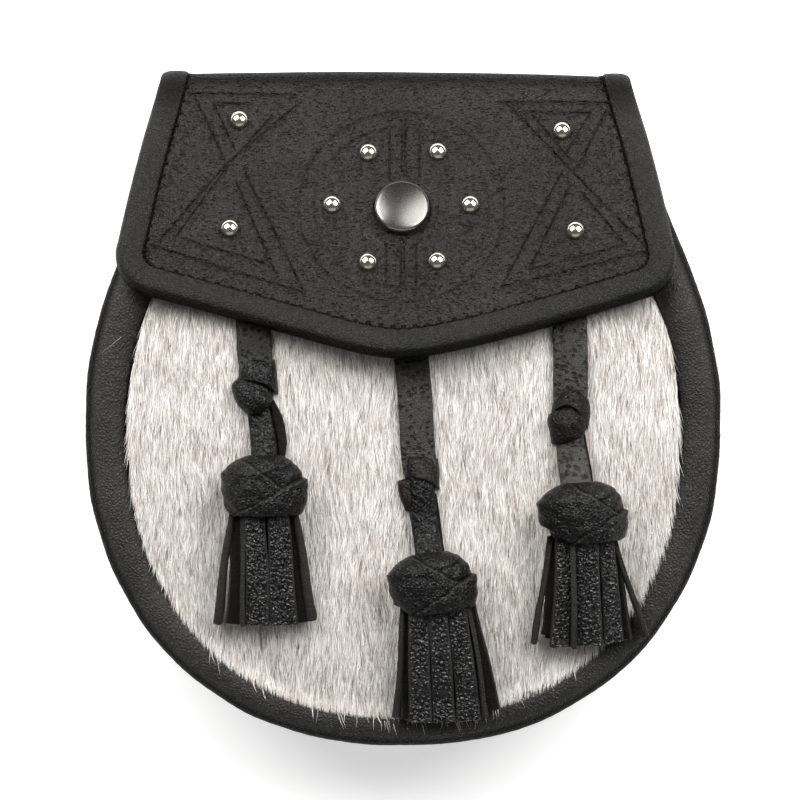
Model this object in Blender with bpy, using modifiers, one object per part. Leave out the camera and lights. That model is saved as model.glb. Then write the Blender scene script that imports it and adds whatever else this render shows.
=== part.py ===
"""A sporran pouch lying on its back, in metres.

+X runs across the pouch, +Y towards the fold at its top, and +Z out of its front.
It is a shallow leather box: a back panel, a gusset round the sides and the bottom,
and a domed front of furred hide with a padded roll round its edge. A bound leather
flap folds over the top and slopes down the front to a snap. Three tassels hang from
straps that come out from under the flap and lie on the fur.
"""

import math
from collections import namedtuple

import bmesh
import bpy
from mathutils import Vector

MM = 0.001
GAP = 0.3 * MM  # what touching pieces keep between them

# The body, seen from the front. Below its widest line it is half a superellipse,
# and above it the sides draw in along a curve that ends in a straight taper.
BODY_HALF_WIDTH = 94.9 * MM
BODY_BOTTOM = -100.8 * MM
WIDEST_Y = -3.6 * MM
LOWER_POWER = 2.2
SIDE_CURVE = 4.4  # per metre
SIDE_CURVED_FOR = 43.0 * MM

# The body, seen from the side.
LEATHER = 2.2 * MM
GUSSET_LEATHER = 2.0 * MM
GUSSET_BULGE = 2.0 * MM
GUSSET_BULGED_FROM = 25.0 * MM  # a lower wall bulges less
HIDE_AND_FUR = 3.5 * MM
FRONT_Z = 43.5 * MM
DOME_DROP = 3.2 * MM
DOME_WIDTH = 22.0 * MM
ROLL_RADIUS = 6.5 * MM
ROLL_Z = 34.5 * MM
BACK_RISE = 9.5 * MM
BACK_RISE_FROM = 8.0 * MM
BACK_RISE_TO = 40.0 * MM

# How high each wall reaches towards the fold.
BACK_TOP = 91.8 * MM
FRONT_TOP = 75.0 * MM
ROLL_TOP = 70.0 * MM
GUSSET_TOP = 67.0 * MM

# Distances in from the body's outline.
BACK_INSET = 3.5 * MM
FRONT_INSET = 2 * ROLL_RADIUS + 1.5 * MM  # the dome's thickness leans out by about 1 mm
GUSSET_INSET = ROLL_RADIUS

# The furred hide's locks.
LOCK_WIDTH = 10.0 * MM
LOCK_LENGTH = 12.0 * MM
LOCK_DEPTH = 1.2 * MM

# The flap, folded over the top. Its width and lower edge are as seen from the front.
FLAP_LEATHER = 2.5 * MM
FLAP_AXIS = -2.2 * MM
FLAP_TILT = math.radians(22.0)
FOLD_RADIUS = 7.5 * MM
FOLD_TOP = 101.6 * MM
TAB_LENGTH = 11.0 * MM
TAB_HALF_WIDTH = 58.0 * MM
FOLD_STEPS = 8
FLAP_TOP_HALF_WIDTH = 70.2 * MM
FLAP_FLARE = 0.291
FLAP_FLARE_EASE = 1.16  # per metre
FLAP_TIP_Y = 15.5 * MM
FLAP_TIP_ROUND = 12.0 * MM
FLAP_EDGE_SLOPE = 0.29
FLAP_EDGE_SKEW = 0.8 * MM
FLAP_CORNER_RADIUS = 8.4 * MM
BINDING_LEATHER = 1.0 * MM
BINDING_WIDTH = 8.0 * MM
BINDING_GAP = 0.4 * MM
UNDER_FLAP = 7.0 * MM  # from the flap's face down to the hide, along Z

# Snap and rivets, placed as seen from the front.
SNAP_RADIUS = 8.0 * MM
SNAP_AT = (-0.3 * MM, 59.3 * MM)
STUD_RADIUS = 5.0 * MM
RIVET_RADIUS = 2.9 * MM
Profile = namedtuple("Profile", "radius height")
CAP_PROFILE = [
    Profile(0.00, 0.42),
    Profile(0.45, 0.40),
    Profile(0.74, 0.34),
    Profile(0.84, 0.33),
    Profile(0.94, 0.30),
    Profile(1.00, 0.20),
    Profile(1.00, 0.08),
    Profile(0.93, 0.00),
    Profile(0.00, 0.00),
]
RIVET_PROFILE = [
    Profile(0.00, 0.58),
    Profile(0.42, 0.52),
    Profile(0.78, 0.34),
    Profile(1.00, 0.08),
    Profile(1.00, 0.00),
    Profile(0.00, 0.00),
]
Rivet = namedtuple("Rivet", "x y")
RIVETS_MM = [
    Rivet(-49.2, 86.5),
    Rivet(47.7, 83.2),
    Rivet(-51.6, 53.4),
    Rivet(51.3, 52.8),
    Rivet(-10.4, 76.4),
    Rivet(10.4, 76.7),
    Rivet(-21.2, 60.6),
    Rivet(20.0, 60.6),
    Rivet(-10.4, 43.3),
    Rivet(10.1, 43.6),
]

# Belt loops on the back, in the room under the raised part of the back panel.
LOOP_WIDTH = 20.0 * MM
LOOP_APART = 70.0 * MM
LOOP_FROM = 40.0 * MM
LOOP_TO = 78.0 * MM
LOOP_FOOT = 5.5 * MM

# Straps and tassels, from the left to the right.
STRAP_WIDTH = 10.4 * MM
STRAP_LEATHER = 1.8 * MM
COLLAR_LENGTH = 9.0 * MM
COLLAR_THICKNESS = 5.2 * MM
HEAD_LENGTH = 16.2 * MM
HEAD_DEPTH = 17.0 * MM
HEAD_POWER = 2.8
HEAD_END = 0.90  # where the head's ends are cut flat, as a share of its half length
HEAD_RINGS = (-HEAD_END, -0.74, -0.45, 0.0, 0.45, 0.74, HEAD_END)
HEAD_SIDES = 24
SKIRT_TOP_WIDTH = 20.5 * MM
STRIP_LEATHER = 1.7 * MM
WEAVE_RELIEF = 0.5 * MM
Tassel = namedtuple(
    "Tassel", "name top_x top_y collar_x collar_y waist_x waist_y head_x head_y lean width length fan"
)
TASSELS_MM = [
    Tassel("left", -45.0, 44.0, -44.4, 8.6, -42.8, -3.2, -41.0, -22.9, 0.0, 25.4, 33.8, 31.6),
    Tassel("middle", 0.4, 46.0, 5.2, -24.4, 6.2, -34.8, 8.6, -51.6, 7.0, 26.0, 34.2, 31.4),
    Tassel("right", 49.5, 43.0, 49.8, -1.6, 50.4, -12.0, 52.9, -30.9, 4.5, 26.6, 33.4, 34.0),
]
# A strap's lower end turns back on itself in a collar. Each row of it lies this share of
# the collar's length above the end, and has these shares of its width and thickness.
CollarRow = namedtuple("CollarRow", "up width thickness")
COLLAR_ROWS = [
    CollarRow(0.80, 1.06, 0.72),
    CollarRow(0.55, 1.10, 1.00),
    CollarRow(0.20, 1.10, 1.00),
    CollarRow(0.00, 1.04, 0.78),
]
# The tassel's own strap: how far each row lies along it, how far it bulges to the left,
# its width, its thickness, and how far it has risen towards the head's middle.
KnotRow = namedtuple("KnotRow", "along bulge width thickness rise")
KNOT_WAIST = 0.42
KNOT_ROWS_MM = [
    KnotRow(0.00, 0.6, 10.2, 4.6, 0.0),
    KnotRow(0.12, 1.2, 12.6, 5.0, 0.0),
    KnotRow(0.26, 0.8, 12.0, 5.0, 0.1),
    KnotRow(KNOT_WAIST, 0.0, 10.2, 4.2, 0.6),
    KnotRow(0.70, -0.3, 9.8, 3.4, 2.6),
    KnotRow(1.00, 0.0, 9.8, 3.4, 5.2),
]
# The strips of a skirt: where each starts and ends across it, as a share of its half
# width, how high its middle starts and ends above the fur, its turn in degrees and its
# width. The first three lie under the others.
Strip = namedtuple("Strip", "start end start_up end_up turn width")
STRIPS_MM = [
    Strip(-0.50, -0.46, 6.5, 1.0, 4, 6.2),
    Strip(0.05, 0.02, 6.5, 1.0, 0, 6.4),
    Strip(0.52, 0.50, 6.5, 1.0, -4, 6.2),
    Strip(-0.88, -0.93, 9.0, 4.8, 72, 4.6),
    Strip(-0.62, -0.64, 9.0, 5.5, 48, 5.6),
    Strip(-0.26, -0.27, 9.0, 4.8, 8, 6.3),
    Strip(0.24, 0.24, 9.0, 4.9, -6, 6.6),
    Strip(0.60, 0.64, 9.0, 5.3, -44, 5.6),
    Strip(0.86, 0.92, 9.0, 4.8, -70, 4.6),
]
STRIP_RAGGED = 0.009  # of a strip's length, times its place in a fixed shuffle

# Colours as they look, in linear light.
BLACK_LEATHER = (0.035, 0.034, 0.031, 1.0)
TASSEL_LEATHER = (0.02, 0.02, 0.019, 1.0)
FUR = (0.72, 0.68, 0.63, 1.0)
NICKEL = (0.62, 0.60, 0.56, 1.0)


# ---------------------------------------------------------------- scene and meshes


def clear_scene():
    for obj in list(bpy.data.objects):
        bpy.data.objects.remove(obj, do_unlink=True)


def new_collection(name):
    collection = bpy.data.collections.new(name)
    bpy.context.scene.collection.children.link(collection)
    return collection


def new_material(name, colour, roughness, metallic=0.0):
    material = bpy.data.materials.new(name)
    material.use_nodes = True
    shader = material.node_tree.nodes["Principled BSDF"]
    shader.inputs["Base Color"].default_value = colour
    shader.inputs["Roughness"].default_value = roughness
    shader.inputs["Metallic"].default_value = metallic
    material.diffuse_color = colour
    return material


def object_of(bm, name, material, collection):
    """A new object that holds this bmesh, which ends here."""
    mesh = bpy.data.meshes.new(name)
    bmesh.ops.recalc_face_normals(bm, faces=bm.faces)
    bm.to_mesh(mesh)
    bm.free()
    mesh.materials.append(material)
    obj = bpy.data.objects.new(name, mesh)
    collection.objects.link(obj)
    return obj


def sheet(name, outline, cuts, place, thickness, material, collection, facing=1, weight=None):
    """A wall of one thickness. Its flat outline is cut along the lines, and then placed.

    cuts holds (axis, value) pairs in the flat outline's own coordinates. facing is 1
    where the outline, anticlockwise, shows the wall's outer face, and -1 where it shows
    the inner one. weight gives the share of the thickness that a place has.
    """
    bm = bmesh.new()
    corners = [bm.verts.new((x, y, 0.0)) for x, y in outline]
    bm.faces.new(corners)
    for axis, value in cuts:
        centre = Vector((0.0, 0.0, 0.0))
        centre[axis] = value
        normal = Vector((0.0, 0.0, 0.0))
        normal[axis] = 1.0
        everything = bm.verts[:] + bm.edges[:] + bm.faces[:]
        bmesh.ops.bisect_plane(bm, geom=everything, dist=1e-6, plane_co=centre, plane_no=normal)
    flat = [vertex.co.copy() for vertex in bm.verts]
    for vertex in bm.verts:
        vertex.co = place(vertex.co.x, vertex.co.y)
    mesh = bpy.data.meshes.new(name)
    if facing < 0:
        bmesh.ops.reverse_faces(bm, faces=bm.faces)
    bm.to_mesh(mesh)
    bm.free()
    mesh.materials.append(material)
    obj = bpy.data.objects.new(name, mesh)
    collection.objects.link(obj)
    wall = obj.modifiers.new("Wall", "SOLIDIFY")
    wall.thickness = thickness
    wall.offset = -1.0
    wall.use_even_offset = True
    if weight:
        group = obj.vertex_groups.new(name="Thickness")
        for index, point in enumerate(flat):
            group.add([index], weight(point.x, point.y), "REPLACE")
        wall.vertex_group = group.name
    return obj


def loft(name, sections, material, collection):
    """A closed body through rings of points, which all have the same number of points."""
    bm = bmesh.new()
    rings = [[bm.verts.new(point) for point in section] for section in sections]
    for ring, following in zip(rings, rings[1:]):
        for index in range(len(ring)):
            after = (index + 1) % len(ring)
            bm.faces.new((ring[index], ring[after], following[after], following[index]))
    bm.faces.new(rings[0])
    bm.faces.new(rings[-1])
    return object_of(bm, name, material, collection)


def turned(name, profile, radius, sides, material, collection):
    """A turned piece about +Z, whose profile gives shares of its radius."""
    bm = bmesh.new()
    points = [Vector((row.radius * radius, 0.0, row.height * radius)) for row in profile]
    ring = [bm.verts.new(point) for point in points]
    for first, second in zip(ring, ring[1:]):
        bm.edges.new((first, second))
    mesh = bpy.data.meshes.new(name)
    bm.to_mesh(mesh)
    bm.free()
    mesh.materials.append(material)
    obj = bpy.data.objects.new(name, mesh)
    collection.objects.link(obj)
    screw = obj.modifiers.new("Turn", "SCREW")
    screw.steps = sides
    screw.render_steps = sides
    screw.use_merge_vertices = True
    screw.merge_threshold = 0.01 * MM
    screw.use_smooth_shade = True
    return obj


def smooth_min(a, b, width):
    """The lower of a and b, with the corner between them rounded over this width."""
    share = max(0.0, min(1.0, 0.5 + 0.5 * (b - a) / width))
    return b + (a - b) * share - width * share * (1.0 - share)


# ---------------------------------------------------------------- the body's shape


def half_width(y):
    """Half of the body's width at this height."""
    rise = y - WIDEST_Y
    if rise < 0.0:
        share = min(1.0, rise / (BODY_BOTTOM - WIDEST_Y))
        return BODY_HALF_WIDTH * (1.0 - share**LOWER_POWER) ** (1.0 / LOWER_POWER)
    curved = min(rise, SIDE_CURVED_FOR)
    taper = 2.0 * SIDE_CURVE * SIDE_CURVED_FOR
    return BODY_HALF_WIDTH - SIDE_CURVE * curved**2 - taper * (rise - curved)


def back_z(y):
    """The height of the back panel's outer face: flat, then raised towards the top."""
    share = (y - BACK_RISE_FROM) / (BACK_RISE_TO - BACK_RISE_FROM)
    share = max(0.0, min(1.0, share))
    return BACK_RISE * share * share * (3.0 - 2.0 * share)


def back_inner_z(y):
    """The height that clears the back panel's inner face, also where it slopes."""
    slope = (back_z(y + MM) - back_z(y - MM)) / (2.0 * MM)
    return back_z(y) + LEATHER * math.hypot(1.0, slope) + 1.5 * MM * slope + 1.6 * GAP


def flap_z(y):
    """The height of the flap's face where it slopes down the front."""
    start_y, start_z = bent(flap_front_from())
    return start_z + (start_y - y) * math.tan(FLAP_TILT)


def roll_z(y):
    """The height of the edge roll's centre. Under the flap the roll runs below it."""
    bound = FLAP_LEATHER + BINDING_GAP + BINDING_LEATHER
    below_flap = flap_z(y) - bound / math.cos(FLAP_TILT) - 0.6 * MM - ROLL_RADIUS
    return smooth_min(ROLL_Z, below_flap, 4.0 * MM)


def roll_underside_z(y):
    """The height that clears the edge roll from below, also where it slopes."""
    slope = (roll_z(y + MM) - roll_z(y - MM)) / (2.0 * MM)
    return roll_z(y) - ROLL_RADIUS * math.hypot(1.0, slope) + 0.6 * MM * slope - 1.2 * GAP


def edge_distance(x, y):
    """About how far a point of the front panel lies from its rounded edge."""
    if y > WIDEST_Y:
        return half_width(y) - FRONT_INSET - abs(x)
    across = abs(x) / (BODY_HALF_WIDTH - FRONT_INSET)
    down = (WIDEST_Y - y) / (WIDEST_Y - BODY_BOTTOM - FRONT_INSET)
    level = (across**LOWER_POWER + down**LOWER_POWER) ** (1.0 / LOWER_POWER)
    return (1.0 - level) * (BODY_HALF_WIDTH - FRONT_INSET)


def front_z(x, y):
    """The height of the fur: domed, and sloping under the flap down to the mouth."""
    share = max(0.0, min(1.0, edge_distance(x, y) / DOME_WIDTH))
    drop = DOME_DROP * (1.0 - share) ** 2
    return smooth_min(FRONT_Z, flap_z(y) - UNDER_FLAP, 4.0 * MM) - drop


def hide_z(x, y):
    """The height of the hide's inner face, which lies one thickness under the fur."""
    across = (front_z(x + MM, y) - front_z(x - MM, y)) / (2.0 * MM)
    along = (front_z(x, y + MM) - front_z(x, y - MM)) / (2.0 * MM)
    return front_z(x, y) - HIDE_AND_FUR * math.sqrt(1.0 + across**2 + along**2)


def outline_points(top_y, inset, count):
    """Points and outward normals along the body's outline, set in by a distance.

    They run from the top right corner down, round the bottom and up to the top left.
    """
    fine = []
    steps = 200
    for step in range(steps):
        y = top_y + (WIDEST_Y - top_y) * step / steps
        fine.append(Vector((half_width(y), y)))
    for step in range(steps + 1):
        angle = 0.5 * math.pi * step / steps
        x = BODY_HALF_WIDTH * math.cos(angle) ** (2.0 / LOWER_POWER)
        y = WIDEST_Y + (BODY_BOTTOM - WIDEST_Y) * math.sin(angle) ** (2.0 / LOWER_POWER)
        fine.append(Vector((x, y)))
    fine += [Vector((-point.x, point.y)) for point in reversed(fine[:-1])]
    lengths = [0.0]
    for first, second in zip(fine, fine[1:]):
        lengths.append(lengths[-1] + (second - first).length)
    stations = []
    index = 0
    for station in range(count):
        wanted = lengths[-1] * station / (count - 1)
        while index < len(fine) - 2 and lengths[index + 1] < wanted:
            index += 1
        share = (wanted - lengths[index]) / (lengths[index + 1] - lengths[index])
        point = fine[index].lerp(fine[index + 1], share)
        along = (fine[index + 1] - fine[index]).normalized()
        outward = Vector((-along.y, along.x))
        stations.append((point - outward * inset, outward))
    return stations


def panel_outline(top_y, inset, count):
    """The outline of a panel that fills the body's outline, anticlockwise."""
    return [tuple(point) for point, outward in reversed(outline_points(top_y, inset, count))]


# ---------------------------------------------------------------- the flap's shape


def flap_front_from():
    """How far along the flap's leather its front begins: after the tab and the fold."""
    return TAB_LENGTH + FOLD_RADIUS * (math.pi - FLAP_TILT)


def bent(along, height=0.0):
    """Y and Z of a place on the flap, by its distance along the leather's outer face.

    The leather lies flat behind the back panel, turns round the fold and then slopes
    down the front. height is measured out from its outer face.
    """
    centre_y = FOLD_TOP - FOLD_RADIUS
    centre_z = BACK_RISE - GAP - FLAP_LEATHER + FOLD_RADIUS
    angle = max(0.0, min(math.pi - FLAP_TILT, (along - TAB_LENGTH) / FOLD_RADIUS))
    beyond = along - TAB_LENGTH - angle * FOLD_RADIUS
    reach = FOLD_RADIUS + height
    y = centre_y + reach * math.sin(angle) + beyond * math.cos(angle)
    z = centre_z - reach * math.cos(angle) + beyond * math.sin(angle)
    return y, z


def along_flap(y):
    """How far along the leather the front's place at this height lies."""
    start = flap_front_from()
    start_y, start_z = bent(start)
    return start + (start_y - y) / math.cos(FLAP_TILT)


def flap_half_width(y):
    """Half of the flap's width, with its binding, at this height on the front."""
    drop = max(0.0, FOLD_TOP - y)
    return FLAP_TOP_HALF_WIDTH + FLAP_FLARE * drop - FLAP_FLARE_EASE * drop**2


def flap_lower_edge(x):
    """The height of the flap's lower edge, a wide blunt point, at x from its axis."""
    rise = math.hypot(x, FLAP_TIP_ROUND) - FLAP_TIP_ROUND
    skew = FLAP_EDGE_SKEW * math.sin(math.pi * x / flap_half_width(FLAP_TIP_Y))
    return FLAP_TIP_Y + FLAP_EDGE_SLOPE * rise - skew


def flap_corner(side):
    """Points round a lower corner of the flap, from its side to its lower edge."""
    centre_x = flap_half_width(FLAP_TIP_Y)
    centre_y = FLAP_TIP_Y
    for repeat in range(20):
        centre_x = flap_half_width(centre_y) - FLAP_CORNER_RADIUS
        rise = flap_lower_edge(side * centre_x)
        centre_y = rise + FLAP_CORNER_RADIUS / math.cos(math.atan(FLAP_EDGE_SLOPE))
    first = math.radians(12.0)
    last = math.atan(FLAP_EDGE_SLOPE) - 0.5 * math.pi
    points = []
    for step in range(7):
        angle = first + (last - first) * step / 6
        x = centre_x + FLAP_CORNER_RADIUS * math.cos(angle)
        points.append((side * x, centre_y + FLAP_CORNER_RADIUS * math.sin(angle)))
    return points


def flap_half_edge(side):
    """One side of the bound edge, flat, from the fold's start to the lower tip."""
    turn = FOLD_RADIUS * (math.pi - FLAP_TILT)
    edge = []
    for step in range(FOLD_STEPS + 1):
        along = TAB_LENGTH + turn * step / FOLD_STEPS
        edge.append((side * flap_half_width(bent(along)[0]), along))
    corner = flap_corner(side)
    top_y = bent(flap_front_from())[0]
    for step in range(1, 5):
        y = top_y + (corner[0][1] - top_y) * step / 5
        edge.append((side * flap_half_width(y), along_flap(y)))
    edge += [(x, along_flap(y)) for x, y in corner]
    for share in (0.86, 0.72, 0.58, 0.44, 0.32, 0.22, 0.13, 0.06):
        x = share * corner[-1][0]
        edge.append((x, along_flap(flap_lower_edge(x))))
    return edge


def flap_edge():
    """The bound edge and its inward directions, flat, from the right to the left."""
    right = flap_half_edge(1)
    left = flap_half_edge(-1)
    tip = (0.0, along_flap(flap_lower_edge(0.0)))
    points = [Vector(point) for point in right + [tip] + left[::-1]]
    stations = []
    for index, point in enumerate(points):
        before = points[max(0, index - 1)]
        after = points[min(len(points) - 1, index + 1)]
        along = (after - before).normalized()
        stations.append((point, Vector((-along.y, along.x))))
    return stations


def on_flap(x, along, height=0.0):
    y, z = bent(along, height)
    return Vector((FLAP_AXIS + x, y, z))


# ---------------------------------------------------------------- the pieces


def make_back_panel(material, collection):
    outline = panel_outline(BACK_TOP, BACK_INSET, 49)
    steps = 8
    bend = BACK_RISE_TO - BACK_RISE_FROM
    cuts = [(1, BACK_RISE_FROM + bend * step / steps) for step in range(steps + 1)]
    sheet(
        "back_panel",
        outline,
        cuts,
        lambda x, y: Vector((x, y, back_z(y))),
        LEATHER,
        material,
        collection,
        facing=-1,
    )


def make_gusset(material, collection):
    bm = bmesh.new()
    rows = []
    for point, outward in outline_points(GUSSET_TOP, GUSSET_INSET, 41):
        low = back_inner_z(point.y)
        high = roll_underside_z(point.y)
        bulge = GUSSET_BULGE * min(1.0, (high - low) / GUSSET_BULGED_FROM)
        row = []
        for step in range(5):
            share = step / 4
            place = point + outward * bulge * math.sin(math.pi * share) ** 2
            row.append(bm.verts.new((place.x, place.y, low + (high - low) * share)))
        rows.append(row)
    for row, following in zip(rows, rows[1:]):
        for index in range(4):
            bm.faces.new((row[index], following[index], following[index + 1], row[index + 1]))
    obj = object_of(bm, "gusset", material, collection)
    wall = obj.modifiers.new("Wall", "SOLIDIFY")
    wall.thickness = GUSSET_LEATHER
    wall.offset = 0.0


def lock_thickness(x, y):
    """The share of the fur's depth at a place: locks lie in rows, thickest at their tips."""
    row = (FRONT_TOP - y) / LOCK_LENGTH
    shift = 0.5 * (math.floor(row) % 2) + 0.25 * math.sin(y / (17.0 * MM))
    across = (x / LOCK_WIDTH + shift) % 1.0
    body = 1.0 - (2.0 * across - 1.0) ** 2
    lock = body * (row % 1.0)
    calm = max(0.0, min(1.0, (35.0 * MM - y) / (10.0 * MM)))
    return 1.0 - LOCK_DEPTH / HIDE_AND_FUR * (1.0 - lock) * calm


def make_front_panel(material, collection):
    """Its inner face is the plain hide, and the fur's locks stand out from it."""
    outline = panel_outline(FRONT_TOP, FRONT_INSET, 49)
    across = 0.5 * LOCK_WIDTH
    down = 0.5 * LOCK_LENGTH
    columns = int(BODY_HALF_WIDTH / across)
    cuts = [(0, across * column) for column in range(-columns, columns + 1)]
    rows = int((FRONT_TOP - BODY_BOTTOM) / down)
    cuts += [(1, FRONT_TOP - down * (row + 0.02)) for row in range(1, rows)]
    sheet(
        "front_panel",
        outline,
        cuts,
        lambda x, y: Vector((x, y, hide_z(x, y))),
        -HIDE_AND_FUR,
        material,
        collection,
        weight=lock_thickness,
    )


def make_edge_roll(material, collection):
    curve = bpy.data.curves.new("edge_roll", "CURVE")
    curve.dimensions = "3D"
    curve.bevel_depth = ROLL_RADIUS
    curve.bevel_resolution = 3
    curve.use_fill_caps = True
    stations = outline_points(ROLL_TOP, ROLL_RADIUS, 49)
    spline = curve.splines.new("POLY")
    spline.points.add(len(stations) - 1)
    for target, (point, outward) in zip(spline.points, stations):
        target.co = (point.x, point.y, roll_z(point.y), 1.0)
    curve.materials.append(material)
    collection.objects.link(bpy.data.objects.new("edge_roll", curve))


def make_flap(material, collection):
    inset = BINDING_LEATHER + BINDING_GAP
    edge = [point + inward * inset for point, inward in flap_edge()]
    tab = [(-TAB_HALF_WIDTH, TAB_LENGTH), (-TAB_HALF_WIDTH, 0.0)]
    tab += [(TAB_HALF_WIDTH, 0.0), (TAB_HALF_WIDTH, TAB_LENGTH)]
    outline = [(x, y) for x, y in edge] + tab
    turn = FOLD_RADIUS * (math.pi - FLAP_TILT)
    cuts = [(1, TAB_LENGTH + turn * step / FOLD_STEPS) for step in range(FOLD_STEPS + 1)]
    sheet(
        "flap",
        outline,
        cuts,
        on_flap,
        FLAP_LEATHER,
        material,
        collection,
        facing=-1,
    )


def make_flap_binding(material, collection):
    """A folded strip of leather: each section is its fold over the flap's edge."""
    inner = BINDING_LEATHER
    front = BINDING_GAP + BINDING_LEATHER
    back = -FLAP_LEATHER - front
    section = [
        (BINDING_WIDTH, BINDING_GAP),
        (inner, BINDING_GAP),
        (inner, -FLAP_LEATHER - BINDING_GAP),
        (BINDING_WIDTH, -FLAP_LEATHER - BINDING_GAP),
        (BINDING_WIDTH, back),
        (inner, back),
        (0.0, back + inner),
        (0.0, front - inner),
        (inner, front),
        (BINDING_WIDTH, front),
    ]
    rings = []
    for point, inward in flap_edge():
        ring = []
        for distance, height in section:
            place = point + inward * distance
            ring.append(on_flap(place.x, place.y, height))
        rings.append(ring)
    loft("flap_binding", rings, material, collection)


def seat_on_flap(obj, x, y, height):
    """Stands a turned piece on the flap's face, at a place seen from the front."""
    along = along_flap(y)
    obj.location = on_flap(x - FLAP_AXIS, along, height)
    obj.rotation_euler = (-FLAP_TILT, 0.0, 0.0)


def make_snap(material, collection):
    cap = turned("snap_cap", CAP_PROFILE, SNAP_RADIUS, 24, material, collection)
    seat_on_flap(cap, SNAP_AT[0], SNAP_AT[1], GAP)
    height = UNDER_FLAP * math.cos(FLAP_TILT) - FLAP_LEATHER - 2.0 * GAP
    share = height / STUD_RADIUS
    profile = [Profile(0.0, share), Profile(0.62, share), Profile(0.62, 0.35 * share)]
    profile += [Profile(1.0, 0.3 * share), Profile(1.0, 0.0), Profile(0.0, 0.0)]
    stud = turned("snap_stud", profile, STUD_RADIUS, 16, material, collection)
    seat_on_flap(stud, SNAP_AT[0], SNAP_AT[1], -FLAP_LEATHER - GAP - height)


def make_rivets(material, collection):
    for number, rivet in enumerate(RIVETS_MM, 1):
        obj = turned(f"rivet_{number:02d}", RIVET_PROFILE, RIVET_RADIUS, 12, material, collection)
        seat_on_flap(obj, rivet.x * MM, rivet.y * MM, GAP)


def make_belt_loops(material, collection):
    """Two bands whose ends lie on the back panel, with room for a belt between."""
    high = BACK_RISE - GAP - LEATHER
    profile = [
        (LOOP_FROM, high),
        (LOOP_FROM + LOOP_FOOT, high),
        (LOOP_FROM + LOOP_FOOT + 2.5 * MM, 0.3 * high),
        (LOOP_FROM + LOOP_FOOT + 5.0 * MM, 0.0),
        (LOOP_TO - LOOP_FOOT - 5.0 * MM, 0.0),
        (LOOP_TO - LOOP_FOOT - 2.5 * MM, 0.3 * high),
        (LOOP_TO - LOOP_FOOT, high),
        (LOOP_TO, high),
    ]
    for side, name in ((-1, "belt_loop_left"), (1, "belt_loop_right")):
        centre = side * 0.5 * LOOP_APART
        pairs = []
        bm = bmesh.new()
        for y, z in profile:
            left = bm.verts.new((centre - 0.5 * LOOP_WIDTH, y, z))
            right = bm.verts.new((centre + 0.5 * LOOP_WIDTH, y, z))
            pairs.append((left, right))
        for (left, right), (next_left, next_right) in zip(pairs, pairs[1:]):
            bm.faces.new((left, next_left, next_right, right))
        mesh = bpy.data.meshes.new(name)
        bm.to_mesh(mesh)
        bm.free()
        mesh.materials.append(material)
        obj = bpy.data.objects.new(name, mesh)
        collection.objects.link(obj)
        wall = obj.modifiers.new("Wall", "SOLIDIFY")
        wall.thickness = LEATHER
        wall.offset = -1.0


def rounded_section(centre, across, up, width, thickness):
    """An eight-sided ring: a flat bar with its corners cut, about a centre."""
    half_w = 0.5 * width
    half_t = 0.5 * thickness
    cut = 0.35 * thickness
    corners = [
        (-half_w, -half_t + cut),
        (-half_w + cut, -half_t),
        (half_w - cut, -half_t),
        (half_w, -half_t + cut),
        (half_w, half_t - cut),
        (half_w - cut, half_t),
        (-half_w + cut, half_t),
        (-half_w, half_t - cut),
    ]
    return [centre + across * a + up * b for a, b in corners]


def make_strap(tassel, material, collection):
    """A strap on the fur, thickened at its lower end where it turns back on itself."""
    top = Vector((tassel.top_x, tassel.top_y)) * MM
    end = Vector((tassel.collar_x, tassel.collar_y)) * MM
    down = (end - top).normalized()
    across = Vector((-down.y, down.x, 0.0)) * -1.0
    length = (end - top).length
    steps = 8
    shape = []
    for step in range(steps):
        along = (length - COLLAR_LENGTH) * step / (steps - 1)
        shape.append((along, 1.0, STRAP_LEATHER))
    for row in COLLAR_ROWS:
        along = length - row.up * COLLAR_LENGTH
        shape.append((along, row.width, row.thickness * COLLAR_THICKNESS))
    rings = []
    for along, broad, thick in shape:
        place = top + down * along
        height = front_z(place.x, place.y) + GAP + 0.5 * thick
        centre = Vector((place.x, place.y, height))
        up = Vector((0.0, 0.0, 1.0))
        rings.append(rounded_section(centre, across, up, STRAP_WIDTH * broad, thick))
    loft(f"strap_{tassel.name}", rings, material, collection)


def make_knot(tassel, material, collection):
    """The tassel's own strap: its loop at the strap above, and its run to the head."""
    start = Vector((tassel.collar_x, tassel.collar_y)) * MM
    waist = Vector((tassel.waist_x, tassel.waist_y)) * MM
    head = Vector((tassel.head_x, tassel.head_y)) * MM
    lean = math.radians(tassel.lean)
    axis = Vector((math.sin(lean), -math.cos(lean)))
    end = head - axis * (0.5 * HEAD_LENGTH * HEAD_END + GAP)
    first = start + (waist - start).normalized() * 2.0 * GAP
    up = Vector((0.0, 0.0, 1.0))
    rings = []
    for row in KNOT_ROWS_MM:
        if row.along < KNOT_WAIST:
            place = first.lerp(waist, row.along / KNOT_WAIST)
        else:
            place = waist.lerp(end, (row.along - KNOT_WAIST) / (1.0 - KNOT_WAIST))
        place = place - Vector((row.bulge * MM, 0.0))
        height = front_z(place.x, place.y) + GAP + (row.rise + 0.5 * row.thickness) * MM
        turn = lean * row.along
        across = Vector((math.cos(turn), math.sin(turn), 0.0))
        centre = Vector((place.x, place.y, height))
        rings.append(rounded_section(centre, across, up, row.width * MM, row.thickness * MM))
    loft(f"knot_{tassel.name}", rings, material, collection)


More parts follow.
